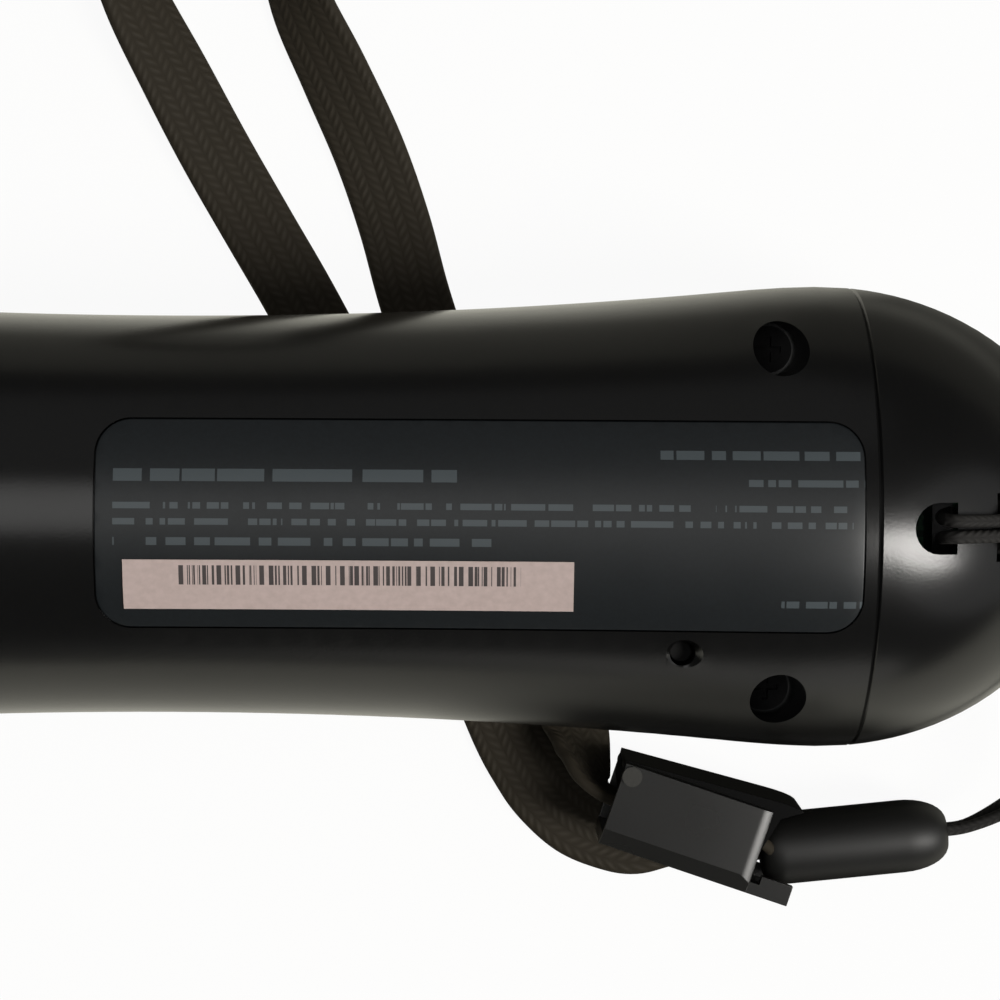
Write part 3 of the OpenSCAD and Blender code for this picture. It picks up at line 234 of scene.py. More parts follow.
cord_free = [(94.8, -29.8, 6.2), (97.2, -29.4, 6.25), (100.4, -27.8, 6.6), (103.2, -25.2, 8.7),
             (104.9, -21.6, 12.8), (105.4, -17.6, 18.2), (105, -13.2, 23.6), (103.8, -8.8, 28.4),
             (102, -4.6, 31.9), (100.2, -1.6, 33.9)]
cord_apart = [(0, 0, 0.65), (0, 0, 0.65), (0.2, -0.2, 0.6), (0.4, -0.3, 0.4), (0.6, -0.2, 0.15),
              (0.65, 0, 0), (0.65, 0, 0), (0.63, 0.15, 0), (0.55, 0.35, 0), (0.25, 0.6, 0)]
cord_hitch = [(175, 0.62, 15.5), (173, 0.62, 16.7), (171, 0.62, 17.8), (169, 0.62, 18.75),
              (167.3, 0.64, 19.35), (166.5, 0.7, 18.6), (166.35, 0.8, 17.2), (166.7, 0.95, 15.9),
              (167.8, 1.15, 14.9), (169.6, 1.45, 14.2), (171.3, 1.75, 13.75), (172.6, 1.9, 14.9),
              (173.1, 1.9, 16.6), (173.2, 1.35, 17.75)]


def strand(side):
    free = [Vector(p) + side * Vector(q) for p, q in zip(cord_free, cord_apart)]
    return free + [laid(s, side * y, z) for s, y, z in cord_hitch]


HITCH_TOP = (173.2, 0, 18.1)
CORD_PARTS = 5
ROUND_SIDES = 10
cord_line = smooth_route(strand(1) + [laid(*HITCH_TOP)] + strand(-1)[::-1], CORD_PARTS)
cord_turns = [2 * math.pi * k / ROUND_SIDES for k in range(ROUND_SIDES)]
cord_rings = []
side = Vector((0, 0, 1))
for point, along in zip(cord_line, headings(cord_line)):
    side = (side - side.dot(along) * along).normalized()
    across = along.cross(side)
    cord_rings.append([(point + CORD_D / 2 * (math.cos(a) * side + math.sin(a) * across)) * MM
                       for a in cord_turns])
cord_route = [p * MM for p in cord_line]
cord_girth = [math.pi * CORD_D * k / ROUND_SIDES * MM for k in range(ROUND_SIDES + 1)]
cord = sweep_piece("strap_cord_braid", cord_rings, running_lengths(cord_route), cord_girth)
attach(cord, "wand")
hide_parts("strap_cord")
print("cord", round(route_length(cord_route), 4), "m")

# %% [markdown]
# A wire spring under the trigger is pressed shorter when the trigger is pulled. Its coil is drawn
# here in the place of the solid one. A small disc the size of the wire is spun round the coil's
# axis and climbs a little at each step.

# %% Trigger spring
WIRE_D = 0.6
SPRING_D = 5
SPRING_TURNS = 5
TURN_PARTS = 16
spring_low, spring_high = (Vector(corner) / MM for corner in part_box("trigger_spring"))
spring_up = Vector((math.sin(tilt), 0, math.cos(tilt)))
spring_side = Vector((math.cos(tilt), 0, -math.sin(tilt)))
spring_turn = Matrix((spring_side, Vector((0, 1, 0)), spring_up)).transposed().to_4x4()
spring_middle = Matrix.Translation((spring_low + spring_high) / 2 * MM)
coil_r = (SPRING_D - WIRE_D) / 2
coil_rise = spring_high.z - spring_low.z - WIRE_D - 2 * coil_r * math.sin(tilt)
coil_steps = SPRING_TURNS * TURN_PARTS
bm = bmesh.new()
wire_place = Matrix.Translation(Vector((coil_r, 0, -coil_rise / 2)) * MM)
bmesh.ops.create_circle(bm, cap_ends=True, segments=ROUND_SIDES, radius=WIRE_D / 2 * MM,
                        matrix=wire_place @ Matrix.Rotation(math.pi / 2, 4, "X"))
bmesh.ops.spin(bm, geom=bm.verts[:] + bm.edges[:] + bm.faces[:], cent=(0, 0, 0), axis=(0, 0, 1),
               dvec=(0, 0, coil_rise / coil_steps * MM), angle=2 * math.pi * SPRING_TURNS,
               steps=coil_steps)
bmesh.ops.transform(bm, matrix=spring_middle @ spring_turn, verts=bm.verts)
bmesh.ops.recalc_face_normals(bm, faces=bm.faces)
for face in bm.faces:
    face.smooth = len(face.verts) == 4
open_edges = sum(not edge.is_manifold for edge in bm.edges)
coil_mesh = bpy.data.meshes.new("trigger_spring_coil")
bm.to_mesh(coil_mesh)
bm.free()
coil = bpy.data.objects.new("trigger_spring_coil", coil_mesh)
bpy.context.scene.collection.objects.link(coil)
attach(coil, "wand")
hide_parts("trigger_spring")
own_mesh(coil)
print("spring rises", round(coil_rise, 2), "mm, open edges", open_edges)

# %% [markdown]
# The solids arrive as loose triangles. Live modifiers make them look moulded and leave the
# mesh alone: a weld joins the triangles, and a small node tree marks every edge that turns by
# less than a set angle as smooth. Edges of small hard pieces also get a narrow bevel, because a
# perfectly sharp edge never catches the light. Flat-sided pieces have the triangles of each face
# joined first, and normals weighted by area keep their faces flat.

# %% Smooth and soften the solids
SHARP_TURN = math.radians(28)
FLAT_TURN = math.radians(0.5)
BEVEL_TURN = math.radians(40)
WELD_GAP = 0.002
BEVEL_PARTS = 3


def smooth_by_angle_tree():
    tree = bpy.data.node_groups.new("smooth_by_angle", "GeometryNodeTree")
    tree.interface.new_socket("Geometry", in_out="INPUT", socket_type="NodeSocketGeometry")
    tree.interface.new_socket("Geometry", in_out="OUTPUT", socket_type="NodeSocketGeometry")
    source = tree.nodes.new("NodeGroupInput")
    result = tree.nodes.new("NodeGroupOutput")
    angle = tree.nodes.new("GeometryNodeInputMeshEdgeAngle")
    low = tree.nodes.new("FunctionNodeCompare")
    low.operation = "LESS_THAN"
    low.inputs[1].default_value = SHARP_TURN
    faces = tree.nodes.new("GeometryNodeSetShadeSmooth")
    faces.domain = "FACE"
    edges = tree.nodes.new("GeometryNodeSetShadeSmooth")
    edges.domain = "EDGE"
    tree.links.new(source.outputs[0], faces.inputs["Geometry"])
    tree.links.new(faces.outputs[0], edges.inputs["Geometry"])
    tree.links.new(angle.outputs["Unsigned Angle"], low.inputs[0])
    tree.links.new(low.outputs[0], edges.inputs["Shade Smooth"])
    tree.links.new(edges.outputs[0], result.inputs[0])
    return tree


smooth_tree = smooth_by_angle_tree()
soft_edges = {
    "lock_lever": 0.28, "lock_sleeve": 0.2, "trigger": 0.45, "main_key": 0.25, "system_key": 0.2,
    "action_key_1": 0.22, "action_key_2": 0.22, "action_key_3": 0.22, "action_key_4": 0.22,
    "side_key_left": 0.18, "side_key_right": 0.18, "battery_tray": 0.15, "trigger_frame": 0.15,
    "charging_socket": 0.08, "accessory_socket": 0.08, "board_chips": 0.06, "label_film": 0.12}
flat_sided = ["lock_lever", "lock_sleeve", "battery_tray", "trigger_frame", "charging_socket",
              "accessory_socket"]
for name, node in nodes.items():
    weld = node.modifiers.new("weld", "WELD")
    weld.merge_threshold = WELD_GAP * MM
    if name in flat_sided:
        whole = node.modifiers.new("whole_faces", "DECIMATE")
        whole.decimate_type = "DISSOLVE"
        whole.angle_limit = FLAT_TURN
    if name in soft_edges:
        bevel = node.modifiers.new("soft_edges", "BEVEL")
        bevel.width = soft_edges[name] * MM
        bevel.segments = BEVEL_PARTS
        bevel.limit_method = "ANGLE"
        bevel.angle_limit = BEVEL_TURN
    smooth = node.modifiers.new("smooth_by_angle", "NODES")
    smooth.node_group = smooth_tree
    if name in soft_edges:
        even = node.modifiers.new("even_normals", "WEIGHTED_NORMAL")
        even.keep_sharp = True
print("softened", len(soft_edges), "of", len(nodes), "solids")

# %% [markdown]
# Finishes share a few effects, and each effect is one node group. The first is the fine grain of
# moulded plastic, which breaks up the gloss. The second is a sprinkle of pale dust specks, as on
# anything black that has been handled.

# %% Shared effects
def new_group(name, inputs, outputs):
    group = bpy.data.node_groups.new(name, "ShaderNodeTree")
    for label, kind, value in inputs:
        socket = group.interface.new_socket(label, in_out="INPUT", socket_type=kind)
        socket.default_value = value
    for label, kind in outputs:
        group.interface.new_socket(label, in_out="OUTPUT", socket_type=kind)
    return group, group.nodes.new("NodeGroupInput"), group.nodes.new("NodeGroupOutput")


def noise_node(tree, coords, detail):
    noise = tree.nodes.new("ShaderNodeTexNoise")
    noise.inputs["Detail"].default_value = detail
    tree.links.new(coords, noise.inputs["Vector"])
    return noise


def map_node(tree, value, low, high, to_low, to_high):
    mapped = tree.nodes.new("ShaderNodeMapRange")
    mapped.inputs["From Min"].default_value = low
    mapped.inputs["From Max"].default_value = high
    mapped.inputs["To Min"].default_value = to_low
    mapped.inputs["To Max"].default_value = to_high
    tree.links.new(value, mapped.inputs["Value"])
    return mapped.outputs["Result"]


def math_node(tree, operation, a, b):
    node = tree.nodes.new("ShaderNodeMath")
    node.operation = operation
    for socket, value in zip(node.inputs, (a, b)):
        if isinstance(value, (int, float)):
            socket.default_value = value
        else:
            tree.links.new(value, socket)
    return node.outputs[0]


grain_group, source, result = new_group(
    "moulded_grain", [("Scale", "NodeSocketFloat", 4000.0), ("Roughness", "NodeSocketFloat", 0.4)],
    [("Height", "NodeSocketFloat"), ("Roughness", "NodeSocketFloat")])
place = grain_group.nodes.new("ShaderNodeTexCoord").outputs["Object"]
fine = noise_node(grain_group, place, 2.0)
grain_group.links.new(source.outputs["Scale"], fine.inputs["Scale"])
wide = noise_node(grain_group, place, 3.0)
wide.inputs["Scale"].default_value = 60.0
drift = map_node(grain_group, wide.outputs["Fac"], 0.3, 0.7, 0.93, 1.07)
grain_group.links.new(fine.outputs["Fac"], result.inputs["Height"])
grain_group.links.new(math_node(grain_group, "MULTIPLY", source.outputs["Roughness"], drift),
                      result.inputs["Roughness"])

speck_group, source, result = new_group(
    "dust_specks", [("Amount", "NodeSocketFloat", 0.02)], [("Mask", "NodeSocketFloat")])
place = speck_group.nodes.new("ShaderNodeTexCoord").outputs["Object"]
cells = speck_group.nodes.new("ShaderNodeTexVoronoi")
cells.inputs["Scale"].default_value = 420.0
speck_group.links.new(place, cells.inputs["Vector"])
dot = map_node(speck_group, cells.outputs["Distance"], 0.02, 0.07, 1.0, 0.0)
lot = speck_group.nodes.new("ShaderNodeSeparateColor")
speck_group.links.new(cells.outputs["Color"], lot.inputs[0])
chosen = math_node(speck_group, "LESS_THAN", lot.outputs[0], source.outputs["Amount"])
speck_group.links.new(math_node(speck_group, "MULTIPLY", dot, chosen), result.inputs["Mask"])
print("effects", [g.name for g in bpy.data.node_groups])

# %% [markdown]
# Most of the wand is plastic in different gloss. One maker function places the grain and the
# specks in each material with its own values, and sets what is the same all over directly on the
# shader. The shell is a satin black; keys and ring are glossier, and the connector is duller.

# %% Plastics, rubber and metal
def new_material(name):
    material = bpy.data.materials.new(name)
    material.use_nodes = True
    tree = material.node_tree
    return material, tree, tree.nodes["Principled BSDF"]


def add_group(tree, group, **values):
    node = tree.nodes.new("ShaderNodeGroup")
    node.node_tree = group
    for label, value in values.items():
        node.inputs[label].default_value = value
    return node


def mix_colour(tree, mask, low, high):
    mix = tree.nodes.new("ShaderNodeMix")
    mix.data_type = "RGBA"
    for socket, value in ((mix.inputs[0], mask), (mix.inputs[6], low), (mix.inputs[7], high)):
        if isinstance(value, tuple):
            socket.default_value = (*value, 1)
        else:
            tree.links.new(value, socket)
    return mix.outputs[2]


def add_bump(tree, shader, height, distance):
    bump = tree.nodes.new("ShaderNodeBump")
    bump.inputs["Distance"].default_value = distance
    bump.inputs["Strength"].default_value = 1.0
    tree.links.new(height, bump.inputs["Height"])
    tree.links.new(bump.outputs["Normal"], shader.inputs["Normal"])


GRAIN_DARK = 0.82
DUST_COLOUR = (0.35, 0.34, 0.31)


def moulded(name, colour, rough, grain=4000.0, depth=0.004, specks=0.0, coat=0.0, metal=0.0,
            shine=0.5):
    """A plastic or metal with its own colour, gloss, grain and depth of grain in millimetres."""
    material, tree, shader = new_material(name)
    effect = add_group(tree, grain_group, Scale=grain, Roughness=rough)
    tree.links.new(effect.outputs["Roughness"], shader.inputs["Roughness"])
    add_bump(tree, shader, effect.outputs["Height"], depth * MM)
    dark = tuple(GRAIN_DARK * c for c in colour)
    shade = map_node(tree, effect.outputs["Height"], 0.35, 0.65, 0.0, 1.0)
    base = mix_colour(tree, shade, dark, colour)
    if specks:
        dust = add_group(tree, speck_group, Amount=specks)
        base = mix_colour(tree, dust.outputs["Mask"], base, DUST_COLOUR)
    tree.links.new(base, shader.inputs["Base Color"])
    shader.inputs["Metallic"].default_value = metal
    shader.inputs["Coat Weight"].default_value = coat
    shader.inputs["Specular IOR Level"].default_value = shine
    return material


satin_black = moulded("satin_black_shell", (0.0045, 0.0045, 0.0045), 0.24, 4200.0, 0.005, 0.02)
key_black = moulded("glossy_key_black", (0.005, 0.005, 0.0055), 0.18, 2600.0, 0.001, 0.01, coat=0.3)
trigger_black = moulded("trigger_black", (0.006, 0.006, 0.006), 0.3, 4200.0, 0.002, 0.02)
connector_black = moulded("connector_black", (0.006, 0.006, 0.0055), 0.5, 2400.0, 0.004, 0.02)
# The sleeve is partly its own dark plastic and partly painted shade: its near-black base and dull
# shine stand in for the shade on its back face, which faces the wand.
sleeve_black_painted_shade = moulded("sleeve_black_painted_shade", (0.002, 0.002, 0.002), 0.3, 3600.0, 0.002, 0.01, shine=0.1)
lever_grey = moulded("lever_grey", (0.011, 0.011, 0.0105), 0.28, 3600.0, 0.002, 0.02)
pin_grey = moulded("pin_grey", (0.035, 0.034, 0.03), 0.3, 3600.0, 0.002)
# The reset button is partly its own dark plastic and partly painted shade: its near-black, dull top
# stands in for the shade deep in its hole.
reset_black_painted_shade = moulded("reset_black_painted_shade", (0.002, 0.002, 0.002), 0.6, 4200.0, 0.002, shine=0.2)
inner_black = moulded("inner_black", (0.018, 0.018, 0.019), 0.5, 3000.0, 0.003)
mat_rubber = moulded("key_mat_rubber", (0.42, 0.42, 0.40), 0.7, 2200.0, 0.004)
guide_frost = moulded("frosted_guide", (0.82, 0.84, 0.85), 0.45, 2600.0, 0.003)
window_red = moulded("status_red", (0.30, 0.02, 0.02), 0.15, 2600.0, 0.001, coat=0.5)
wire_red = moulded("wire_red", (0.45, 0.03, 0.025), 0.4, 2600.0, 0.002)
battery_wrap = moulded("battery_wrap", (0.05, 0.06, 0.09), 0.35, 1600.0, 0.003, coat=0.2)
steel = moulded("satin_steel", (0.50, 0.50, 0.52), 0.32, 5200.0, 0.002, metal=1.0)
dark_steel = moulded("dark_screw_steel", (0.018, 0.018, 0.0185), 0.5, 5200.0, 0.002, metal=1.0)
# The charging socket is steel darkened as painted shade: seen through the tail slot, its dark colour
# stands in for the shade of a closed pocket.
socket_steel_painted_shade = moulded("dark_socket_steel", (0.03, 0.03, 0.031), 0.5, 5200.0, 0.002, metal=1.0)
gold = moulded("contact_gold", (0.80, 0.55, 0.18), 0.22, 5200.0, 0.001, metal=1.0)
coil.data.materials.append(steel)
print("moulded finishes", len(bpy.data.materials))

# %% [markdown]
# The ball is thin soft silicone. Light spreads inside it, which subsurface scattering gives, and
# its skin has a faint pebble that keeps it from looking like glass.

# %% Soft ball
soft_ball, tree, shader = new_material("soft_ball_silicone")
effect = add_group(tree, grain_group, Scale=900.0, Roughness=0.55)
tree.links.new(effect.outputs["Roughness"], shader.inputs["Roughness"])
add_bump(tree, shader, effect.outputs["Height"], 0.02 * MM)
haze = map_node(tree, effect.outputs["Height"], 0.3, 0.7, 0.0, 1.0)
silicone = mix_colour(tree, haze, (0.80, 0.80, 0.77), (0.86, 0.86, 0.84))
tree.links.new(silicone, shader.inputs["Base Color"])
shader.inputs["Subsurface Weight"].default_value = 0.35
shader.inputs["Subsurface Radius"].default_value = (1.0, 0.9, 0.8)
shader.inputs["Subsurface Scale"].default_value = 0.003
print("ball finish", soft_ball.name)

# %% [markdown]
# A circuit board is green lacquer over copper tracks. Tracks run mostly along and across, so a
# fine brick pattern makes thin lighter lines under the lacquer.

# %% Circuit board
board_green, tree, shader = new_material("board_lacquer")
place = tree.nodes.new("ShaderNodeTexCoord").outputs["Object"]
tracks = tree.nodes.new("ShaderNodeTexBrick")
tracks.inputs["Scale"].default_value = 260.0
tracks.inputs["Mortar Size"].default_value = 0.05
tracks.inputs["Color1"].default_value = (0.012, 0.085, 0.04, 1)
tracks.inputs["Color2"].default_value = (0.010, 0.070, 0.032, 1)
tracks.inputs["Mortar"].default_value = (0.05, 0.20, 0.09, 1)
tree.links.new(place, tracks.inputs["Vector"])
tree.links.new(tracks.outputs["Color"], shader.inputs["Base Color"])
effect = add_group(tree, grain_group, Scale=2000.0, Roughness=0.3)
tree.links.new(effect.outputs["Roughness"], shader.inputs["Roughness"])
add_bump(tree, shader, tracks.outputs["Fac"], 0.02 * MM)
print("board finish", board_green.name)

# %% [markdown]
# The label is a thin dark film. It is left without words: soft grey dashes only hint at rows of
# small print. A row is a band across the label that is cut into dashes of uneven length. The
# pattern is one node group that is placed once for each row, with its own ends and height.

# %% Label film with rows of dashes
ROW_SPREAD = 90000.0
row_group, source, result = new_group(
    "dash_row",
    [("Start", "NodeSocketFloat", 0.0), ("End", "NodeSocketFloat", 0.01),
     ("Middle", "NodeSocketFloat", 0.0), ("Half", "NodeSocketFloat", 0.0004),
     ("Pitch", "NodeSocketFloat", 900.0), ("Fill", "NodeSocketFloat", 0.4)],
    [("Mask", "NodeSocketFloat")])
place = row_group.nodes.new("ShaderNodeTexCoord").outputs["Object"]
axes = row_group.nodes.new("ShaderNodeSeparateXYZ")
row_group.links.new(place, axes.inputs[0])
off = math_node(row_group, "SUBTRACT", axes.outputs[1], source.outputs["Middle"])
distance = math_node(row_group, "ABSOLUTE", off, 0)
inside = math_node(row_group, "LESS_THAN", distance, source.outputs["Half"])
after = math_node(row_group, "GREATER_THAN", axes.outputs[0], source.outputs["Start"])
before = math_node(row_group, "LESS_THAN", axes.outputs[0], source.outputs["End"])
dashes = row_group.nodes.new("ShaderNodeTexNoise")
dashes.noise_dimensions = "2D"
dashes.inputs["Detail"].default_value = 0.0
spread = row_group.nodes.new("ShaderNodeCombineXYZ")
along_row = math_node(row_group, "MULTIPLY", axes.outputs[0], source.outputs["Pitch"])
row_seed = math_node(row_group, "MULTIPLY", source.outputs["Middle"], ROW_SPREAD)
row_group.links.new(along_row, spread.inputs[0])
row_group.links.new(row_seed, spread.inputs[1])
dashes.inputs["Scale"].default_value = 1.0
row_group.links.new(spread.outputs[0], dashes.inputs["Vector"])
filled = math_node(row_group, "GREATER_THAN", dashes.outputs["Fac"], source.outputs["Fill"])
band = math_node(row_group, "MULTIPLY", inside, filled)
reach = math_node(row_group, "MULTIPLY", after, before)
row_group.links.new(math_node(row_group, "MULTIPLY", band, reach), result.inputs["Mask"])

DASH_GREY = (0.060, 0.074, 0.082)
label_film, tree, shader = new_material("label_film_print")
effect = add_group(tree, grain_group, Scale=3000.0, Roughness=0.4)
tree.links.new(effect.outputs["Roughness"], shader.inputs["Roughness"])
label_rows = [(22.4, 50.2, 4.0, 0.5, 700.0, 0.34), (22.4, 44.0, 1.55, 0.26, 1500.0, 0.42),
              (45.4, 82.6, 1.55, 0.26, 1500.0, 0.42), (22.4, 82.0, 0.25, 0.26, 1500.0, 0.42),
              (22.4, 53.0, -1.35, 0.32, 1300.0, 0.40), (66.6, 83.2, 5.8, 0.36, 1200.0, 0.40),
              (73.6, 83.2, 3.6, 0.28, 1300.0, 0.40), (76.4, 83.0, -6.2, 0.28, 1300.0, 0.42)]
print_mask = None
for start, end, middle, half, pitch, fill in label_rows:
    row = add_group(tree, row_group, Start=start * MM, End=end * MM, Middle=middle * MM,
                    Half=half * MM, Pitch=pitch, Fill=fill).outputs["Mask"]
    print_mask = row if print_mask is None else math_node(tree, "MAXIMUM", print_mask, row)
film = mix_colour(tree, map_node(tree, effect.outputs["Height"], 0.35, 0.65, 0.0, 1.0),
                  (0.0065, 0.0085, 0.0100), (0.0080, 0.0105, 0.0125))
tree.links.new(mix_colour(tree, print_mask, film, DASH_GREY), shader.inputs["Base Color"])
add_bump(tree, shader, effect.outputs["Height"], 0.002 * MM)
print("label rows", len(label_rows))

# %% [markdown]
# The pale sticker carries a block of upright bars. Bars of uneven width come from a fine noise
# that only changes along the sticker, cut at a threshold.

# %% Sticker with plain bars
BAR_PITCH = 2600.0
BAR_ENDS = (27.4, 55.4)
BAR_SIDES = (-4.9, -3.3)
BAR_DARK = (0.06, 0.05, 0.05)
sticker_paper, tree, shader = new_material("sticker_paper")
effect = add_group(tree, grain_group, Scale=1800.0, Roughness=0.5)
tree.links.new(effect.outputs["Roughness"], shader.inputs["Roughness"])
place = tree.nodes.new("ShaderNodeTexCoord").outputs["Object"]
axes = tree.nodes.new("ShaderNodeSeparateXYZ")
tree.links.new(place, axes.inputs[0])
bars = tree.nodes.new("ShaderNodeTexNoise")
bars.noise_dimensions = "1D"
bars.inputs["Scale"].default_value = 1.0
bars.inputs["Detail"].default_value = 1.0
tree.links.new(math_node(tree, "MULTIPLY", axes.outputs[0], BAR_PITCH), bars.inputs["W"])
dark_bar = math_node(tree, "GREATER_THAN", bars.outputs["Fac"], 0.5)
low_end = math_node(tree, "GREATER_THAN", axes.outputs[0], BAR_ENDS[0] * MM)
high_end = math_node(tree, "LESS_THAN", axes.outputs[0], BAR_ENDS[1] * MM)
low_side = math_node(tree, "GREATER_THAN", axes.outputs[1], BAR_SIDES[0] * MM)
high_side = math_node(tree, "LESS_THAN", axes.outputs[1], BAR_SIDES[1] * MM)
ends = math_node(tree, "MULTIPLY", low_end, high_end)
sides = math_node(tree, "MULTIPLY", low_side, high_side)
bar_mask = math_node(tree, "MULTIPLY", dark_bar, math_node(tree, "MULTIPLY", ends, sides))
paper = mix_colour(tree, map_node(tree, effect.outputs["Height"], 0.3, 0.7, 0.0, 1.0),
                   (0.50, 0.40, 0.375), (0.56, 0.45, 0.425))
tree.links.new(mix_colour(tree, bar_mask, paper, BAR_DARK), shader.inputs["Base Color"])
add_bump(tree, shader, effect.outputs["Height"], 0.004 * MM)
print("sticker finish", sticker_paper.name)

# %% [markdown]
# Webbing is woven in narrow ribs along its length, with slanting stitches that change direction
# from rib to rib. Its UV map is in metres, so ribs and stitches keep their true size round every
# turn. The cord uses the same idea with finer slanting plaits.

# %% Woven cloth
STITCH_LIFT = 1.4
WEAVE_TOP = 2.2
WEAVE_DARK = 0.8
weave_group, source, result = new_group(
    "woven_ribs",
    [("Ribs", "NodeSocketFloat", 1000.0), ("Stitches", "NodeSocketFloat", 900.0)],
    [("Height", "NodeSocketFloat")])
cloth_map = weave_group.nodes.new("ShaderNodeUVMap")
cloth_map.uv_map = "cloth"
flat = weave_group.nodes.new("ShaderNodeSeparateXYZ")
weave_group.links.new(cloth_map.outputs["UV"], flat.inputs[0])
rib_place = math_node(weave_group, "MULTIPLY", flat.outputs[1], source.outputs["Ribs"])
rib_turn = math_node(weave_group, "PINGPONG", rib_place, 1.0)
stitch_place = math_node(weave_group, "MULTIPLY", flat.outputs[0], source.outputs["Stitches"])
slant = math_node(weave_group, "ADD", stitch_place, rib_turn)
stitch = math_node(weave_group, "SINE", math_node(weave_group, "MULTIPLY", slant, 2 * math.pi), 0)
rib = math_node(weave_group, "SINE", math_node(weave_group, "MULTIPLY", rib_place, math.pi), 0)
groove = math_node(weave_group, "ABSOLUTE", rib, 0)
raised = math_node(weave_group, "ADD", stitch, STITCH_LIFT)
weave_group.links.new(math_node(weave_group, "MULTIPLY", raised, groove), result.inputs["Height"])


def woven_cloth(name, colour, ribs, stitches, depth):
    material, tree, shader = new_material(name)
    weave = add_group(tree, weave_group, Ribs=ribs, Stitches=stitches)
    shade = map_node(tree, weave.outputs["Height"], 0.0, WEAVE_TOP, 0.0, 1.0)
    dark = tuple(WEAVE_DARK * c for c in colour)
    tree.links.new(mix_colour(tree, shade, dark, colour), shader.inputs["Base Color"])
    rough = map_node(tree, weave.outputs["Height"], 0.0, WEAVE_TOP, 0.85, 0.7)
    tree.links.new(rough, shader.inputs["Roughness"])
    add_bump(tree, shader, weave.outputs["Height"], depth * MM)
    shader.inputs["Specular IOR Level"].default_value = 0.3
    return material


webbing_weave = woven_cloth("webbing_weave", (0.031, 0.025, 0.016), 900.0, 1100.0, 0.03)
cord_braid = woven_cloth("cord_braid", (0.02, 0.019, 0.018), 1150.0, 1400.0, 0.04)
webbing.data.materials.append(webbing_weave)
cord.data.materials.append(cord_braid)
print("cloth finishes", webbing_weave.name, cord_braid.name)

# %% [markdown]
# Every solid now gets its finish. The table lists the solids by finish, so a solid that was
# forgotten shows up as a missing name when the cell runs.

# %% Dress the solids
finishes = {
    satin_black: ["rear_shell", "front_shell", "tail_cap"],
    trigger_black: ["trigger"],
    reset_black_painted_shade: ["reset_button"],
    key_black: ["main_key", "action_key_1", "action_key_2", "action_key_3", "action_key_4",
                "system_key", "side_key_left", "side_key_right", "neck_ring"],
    connector_black: ["strap_connector"],
    sleeve_black_painted_shade: ["lock_sleeve"],
    lever_grey: ["lock_lever"],
    inner_black: ["battery_tray", "trigger_frame", "trigger_sensor", "side_switches", "reset_switch",
                  "accessory_socket", "board_chips"],
    mat_rubber: ["key_mat"],
    guide_frost: ["light_guide", "light_chip"],
    window_red: ["status_window"],
    wire_red: ["battery_lead"],
    battery_wrap: ["battery"],
    steel: ["trigger_pin", "trigger_spring", "vibration_motor", "vibration_weight", "board_screws"],
    socket_steel_painted_shade: ["charging_socket"],
    dark_steel: ["casing_screws"],
    pin_grey: ["lock_pin"],
    gold: ["charging_contacts"],
    soft_ball: ["ball"],
    board_green: ["light_board", "main_board", "tail_board"],
    label_film: ["label_film"],
    sticker_paper: ["pale_sticker"],
    webbing_weave: ["strap_webbing"],
    cord_braid: ["strap_cord"]}
dressed = set()
for material, names in finishes.items():
    for name in names:
        data = nodes[name].data
        data.materials.clear()
        data.materials.append(material)
        dressed.add(name)
print("not dressed", sorted(set(nodes) - dressed))

# %% [markdown]
# The table is a wide white sheet. For the camera it is mostly plain white, and the rest of its light
# comes from the lamps, so the wand keeps a faint shadow under it. In mirrors the table shows painted
# light and shade with a warm tint, set by place: even on the near side, a painted shadow in a band
# round the lock, and painted shade falling off towards the far side and towards the tail.

# %% White table
def mix_value(tree, mask, low, high):
    mix = tree.nodes.new("ShaderNodeMix")
    for socket, value in ((mix.inputs[0], mask), (mix.inputs[2], low), (mix.inputs[3], high)):
        if isinstance(value, float):
            socket.default_value = value
        else:
            tree.links.new(value, socket)
    return mix.outputs[0]


FLOOR_SIZE = 3.0
CAMERA_WHITE = 0.94
# Strengths of the painted light and shade that mirrors see on the table.
NEAR_WHITE = 0.82
FAR_WHITE = 1.0
FAR_SHADE = 0.3
LOCK_SHADE = 0.02
BAND_SHADE = 0.3
CORNER_SHADE = 0.25
TAIL_SHADE = 0.6
MIRROR_TINT = (0.90, 0.88, 0.76)
FAR_EDGE = (0.032, 0.056)
TAIL_EDGE = (0.06, 0.085)
CORNER_EDGE = (0.085, 0.093)
RIM_EDGE = (0.03, 0.045)
BAND_START = (0.045, 0.06)
BAND_END = (0.094, 0.108)
BAND_DEPTH = (-0.09, -0.055)
SIDE_EDGE = (-0.005, 0.005)
bm = bmesh.new()
bmesh.ops.create_grid(bm, x_segments=2, y_segments=2, size=FLOOR_SIZE)
floor_mesh = bpy.data.meshes.new("white_table")
bm.to_mesh(floor_mesh)
bm.free()
floor = bpy.data.objects.new("white_table", floor_mesh)
bpy.context.scene.collection.objects.link(floor)
floor_white, tree, shader = new_material("table_white")
shader.inputs["Base Color"].default_value = (0.9, 0.88, 0.8, 1)
shader.inputs["Roughness"].default_value = 0.9
shader.inputs["Specular IOR Level"].default_value = 0.0
glow = tree.nodes.new("ShaderNodeEmission")
path = tree.nodes.new("ShaderNodeLightPath")
mirrored = math_node(tree, "MAXIMUM", path.outputs["Is Glossy Ray"],
                     path.outputs["Is Transmission Ray"])
tint = mix_colour(tree, mirrored, (1.0, 1.0, 1.0), MIRROR_TINT)
tree.links.new(tint, glow.inputs["Color"])
axes = tree.nodes.new("ShaderNodeSeparateXYZ")
tree.links.new(tree.nodes.new("ShaderNodeTexCoord").outputs["Object"], axes.inputs[0])
along, across = axes.outputs[0], axes.outputs[1]
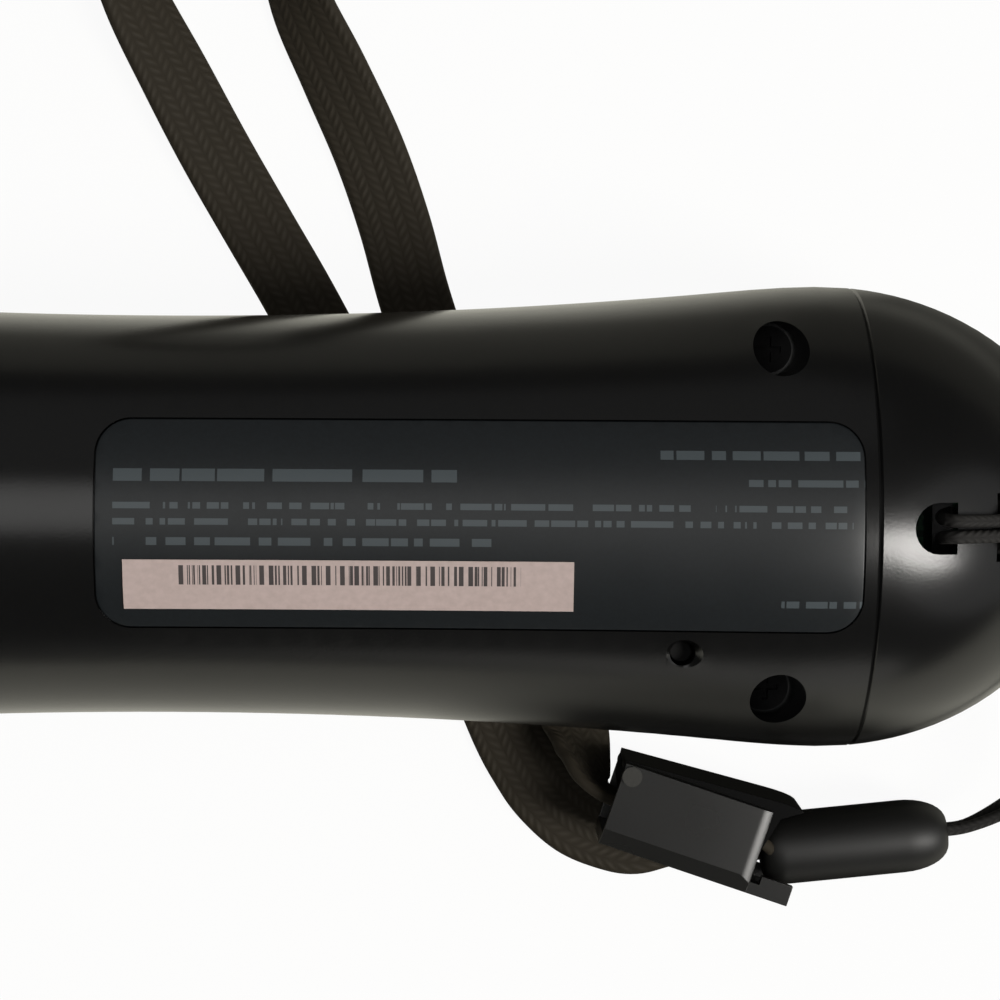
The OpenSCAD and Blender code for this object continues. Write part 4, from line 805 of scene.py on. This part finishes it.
# Painted light and shade in mirrors, set by place: a painted shadow round the lock, painted shade
# beyond.
far_fall = map_node(tree, across, *FAR_EDGE, FAR_WHITE, FAR_SHADE)
tail_rim = math_node(tree, "MAXIMUM", map_node(tree, along, *CORNER_EDGE, 1.0, CORNER_SHADE),
                     map_node(tree, across, *RIM_EDGE, 0.0, 1.0))
corner = math_node(tree, "MULTIPLY", map_node(tree, along, *TAIL_EDGE, 1.0, TAIL_SHADE), tail_rim)
far_light = math_node(tree, "MULTIPLY", far_fall, corner)
lock_band = math_node(tree, "MULTIPLY", map_node(tree, along, *BAND_START, 0.0, 1.0),
                      map_node(tree, along, *BAND_END, 1.0, 0.0))
band_light = map_node(tree, across, *BAND_DEPTH, BAND_SHADE, LOCK_SHADE)
near_light = mix_value(tree, lock_band, NEAR_WHITE, band_light)
far_side = map_node(tree, across, *SIDE_EDGE, 0.0, 1.0)
mirror_white = mix_value(tree, far_side, near_light, far_light)
tree.links.new(mix_value(tree, mirrored, 1.0, mirror_white), glow.inputs["Strength"])
seen = math_node(tree, "MAXIMUM", mirrored,
                 math_node(tree, "MULTIPLY", path.outputs["Is Camera Ray"], CAMERA_WHITE))
blend = tree.nodes.new("ShaderNodeMixShader")
tree.links.new(seen, blend.inputs["Fac"])
tree.links.new(shader.outputs[0], blend.inputs[1])
tree.links.new(glow.outputs[0], blend.inputs[2])
tree.links.new(blend.outputs[0], tree.nodes["Material Output"].inputs["Surface"])
floor_mesh.materials.append(floor_white)
print("table", 2 * FLOOR_SIZE, "m")

# %% [markdown]
# Black satin plastic shows only what it mirrors. A soft lamp on the tail side puts the bright spot
# on the dome, a wide dim panel overhead lays a broad sheen along the grip, a dim panel beyond the
# tail lifts the dome, a low window shows in the near edge, and the dark room above keeps the rest
# black. The table shows in the edges. Only the camera sees the room as white.

# %% Lamps and room
def soft_lamp(name, place, aim, size, power, colour=(1, 1, 1), stretch=1.0):
    data = bpy.data.lights.new(name, "AREA")
    data.shape = "ELLIPSE"
    data.size = size
    data.size_y = size * stretch
    data.energy = power
    data.color = colour
    lamp = bpy.data.objects.new(name, data)
    lamp.location = place
    lamp.rotation_mode = "QUATERNION"
    lamp.rotation_quaternion = (Vector(aim) - Vector(place)).to_track_quat("-Z", "Y")
    bpy.context.scene.collection.objects.link(lamp)


ROOM_GLOW = 0.05
LAMP_AWAY = 0.9
tail_spot = Vector((0.088, -0.002, 0.038))
key_way = Vector((0.56, -0.21, 0.80)).normalized()
soft_lamp("key_lamp", tail_spot + LAMP_AWAY * key_way, tail_spot, 0.26, 6.8, (1.0, 0.98, 0.94), 2.0)
top_way = Vector((-0.13, 0.10, 0.985)).normalized()
grip_spot = Vector((0.017, 0.001, 0.038))
soft_lamp("top_panel", grip_spot + LAMP_AWAY * top_way, grip_spot, 0.44, 0.8, (1.0, 0.99, 0.97))
soft_lamp("back_panel", (0, 1.1, 0.9), (0.03, 0, 0.03), 1.2, 0.5)
soft_lamp("tail_panel", (1.05, -0.2, 0.65), (0.09, 0, 0.03), 1.4, 2.0)
soft_lamp("low_window", (0.28, -1.2, 0.2), (0.08, 0, 0.03), 0.7, 0.5, (1.0, 0.98, 0.92), 0.55)
world = bpy.data.worlds.new("dim_room")
bpy.context.scene.world = world
world.use_nodes = True
room = world.node_tree.nodes["Background"]
room.inputs["Color"].default_value = (0.98, 0.98, 0.96, 1)
room_path = world.node_tree.nodes.new("ShaderNodeLightPath")
room_glow = math_node(world.node_tree, "MAXIMUM", room_path.outputs["Is Camera Ray"], ROOM_GLOW)
world.node_tree.links.new(room_glow, room.inputs["Strength"])
bpy.context.scene.view_settings.view_transform = "Standard"
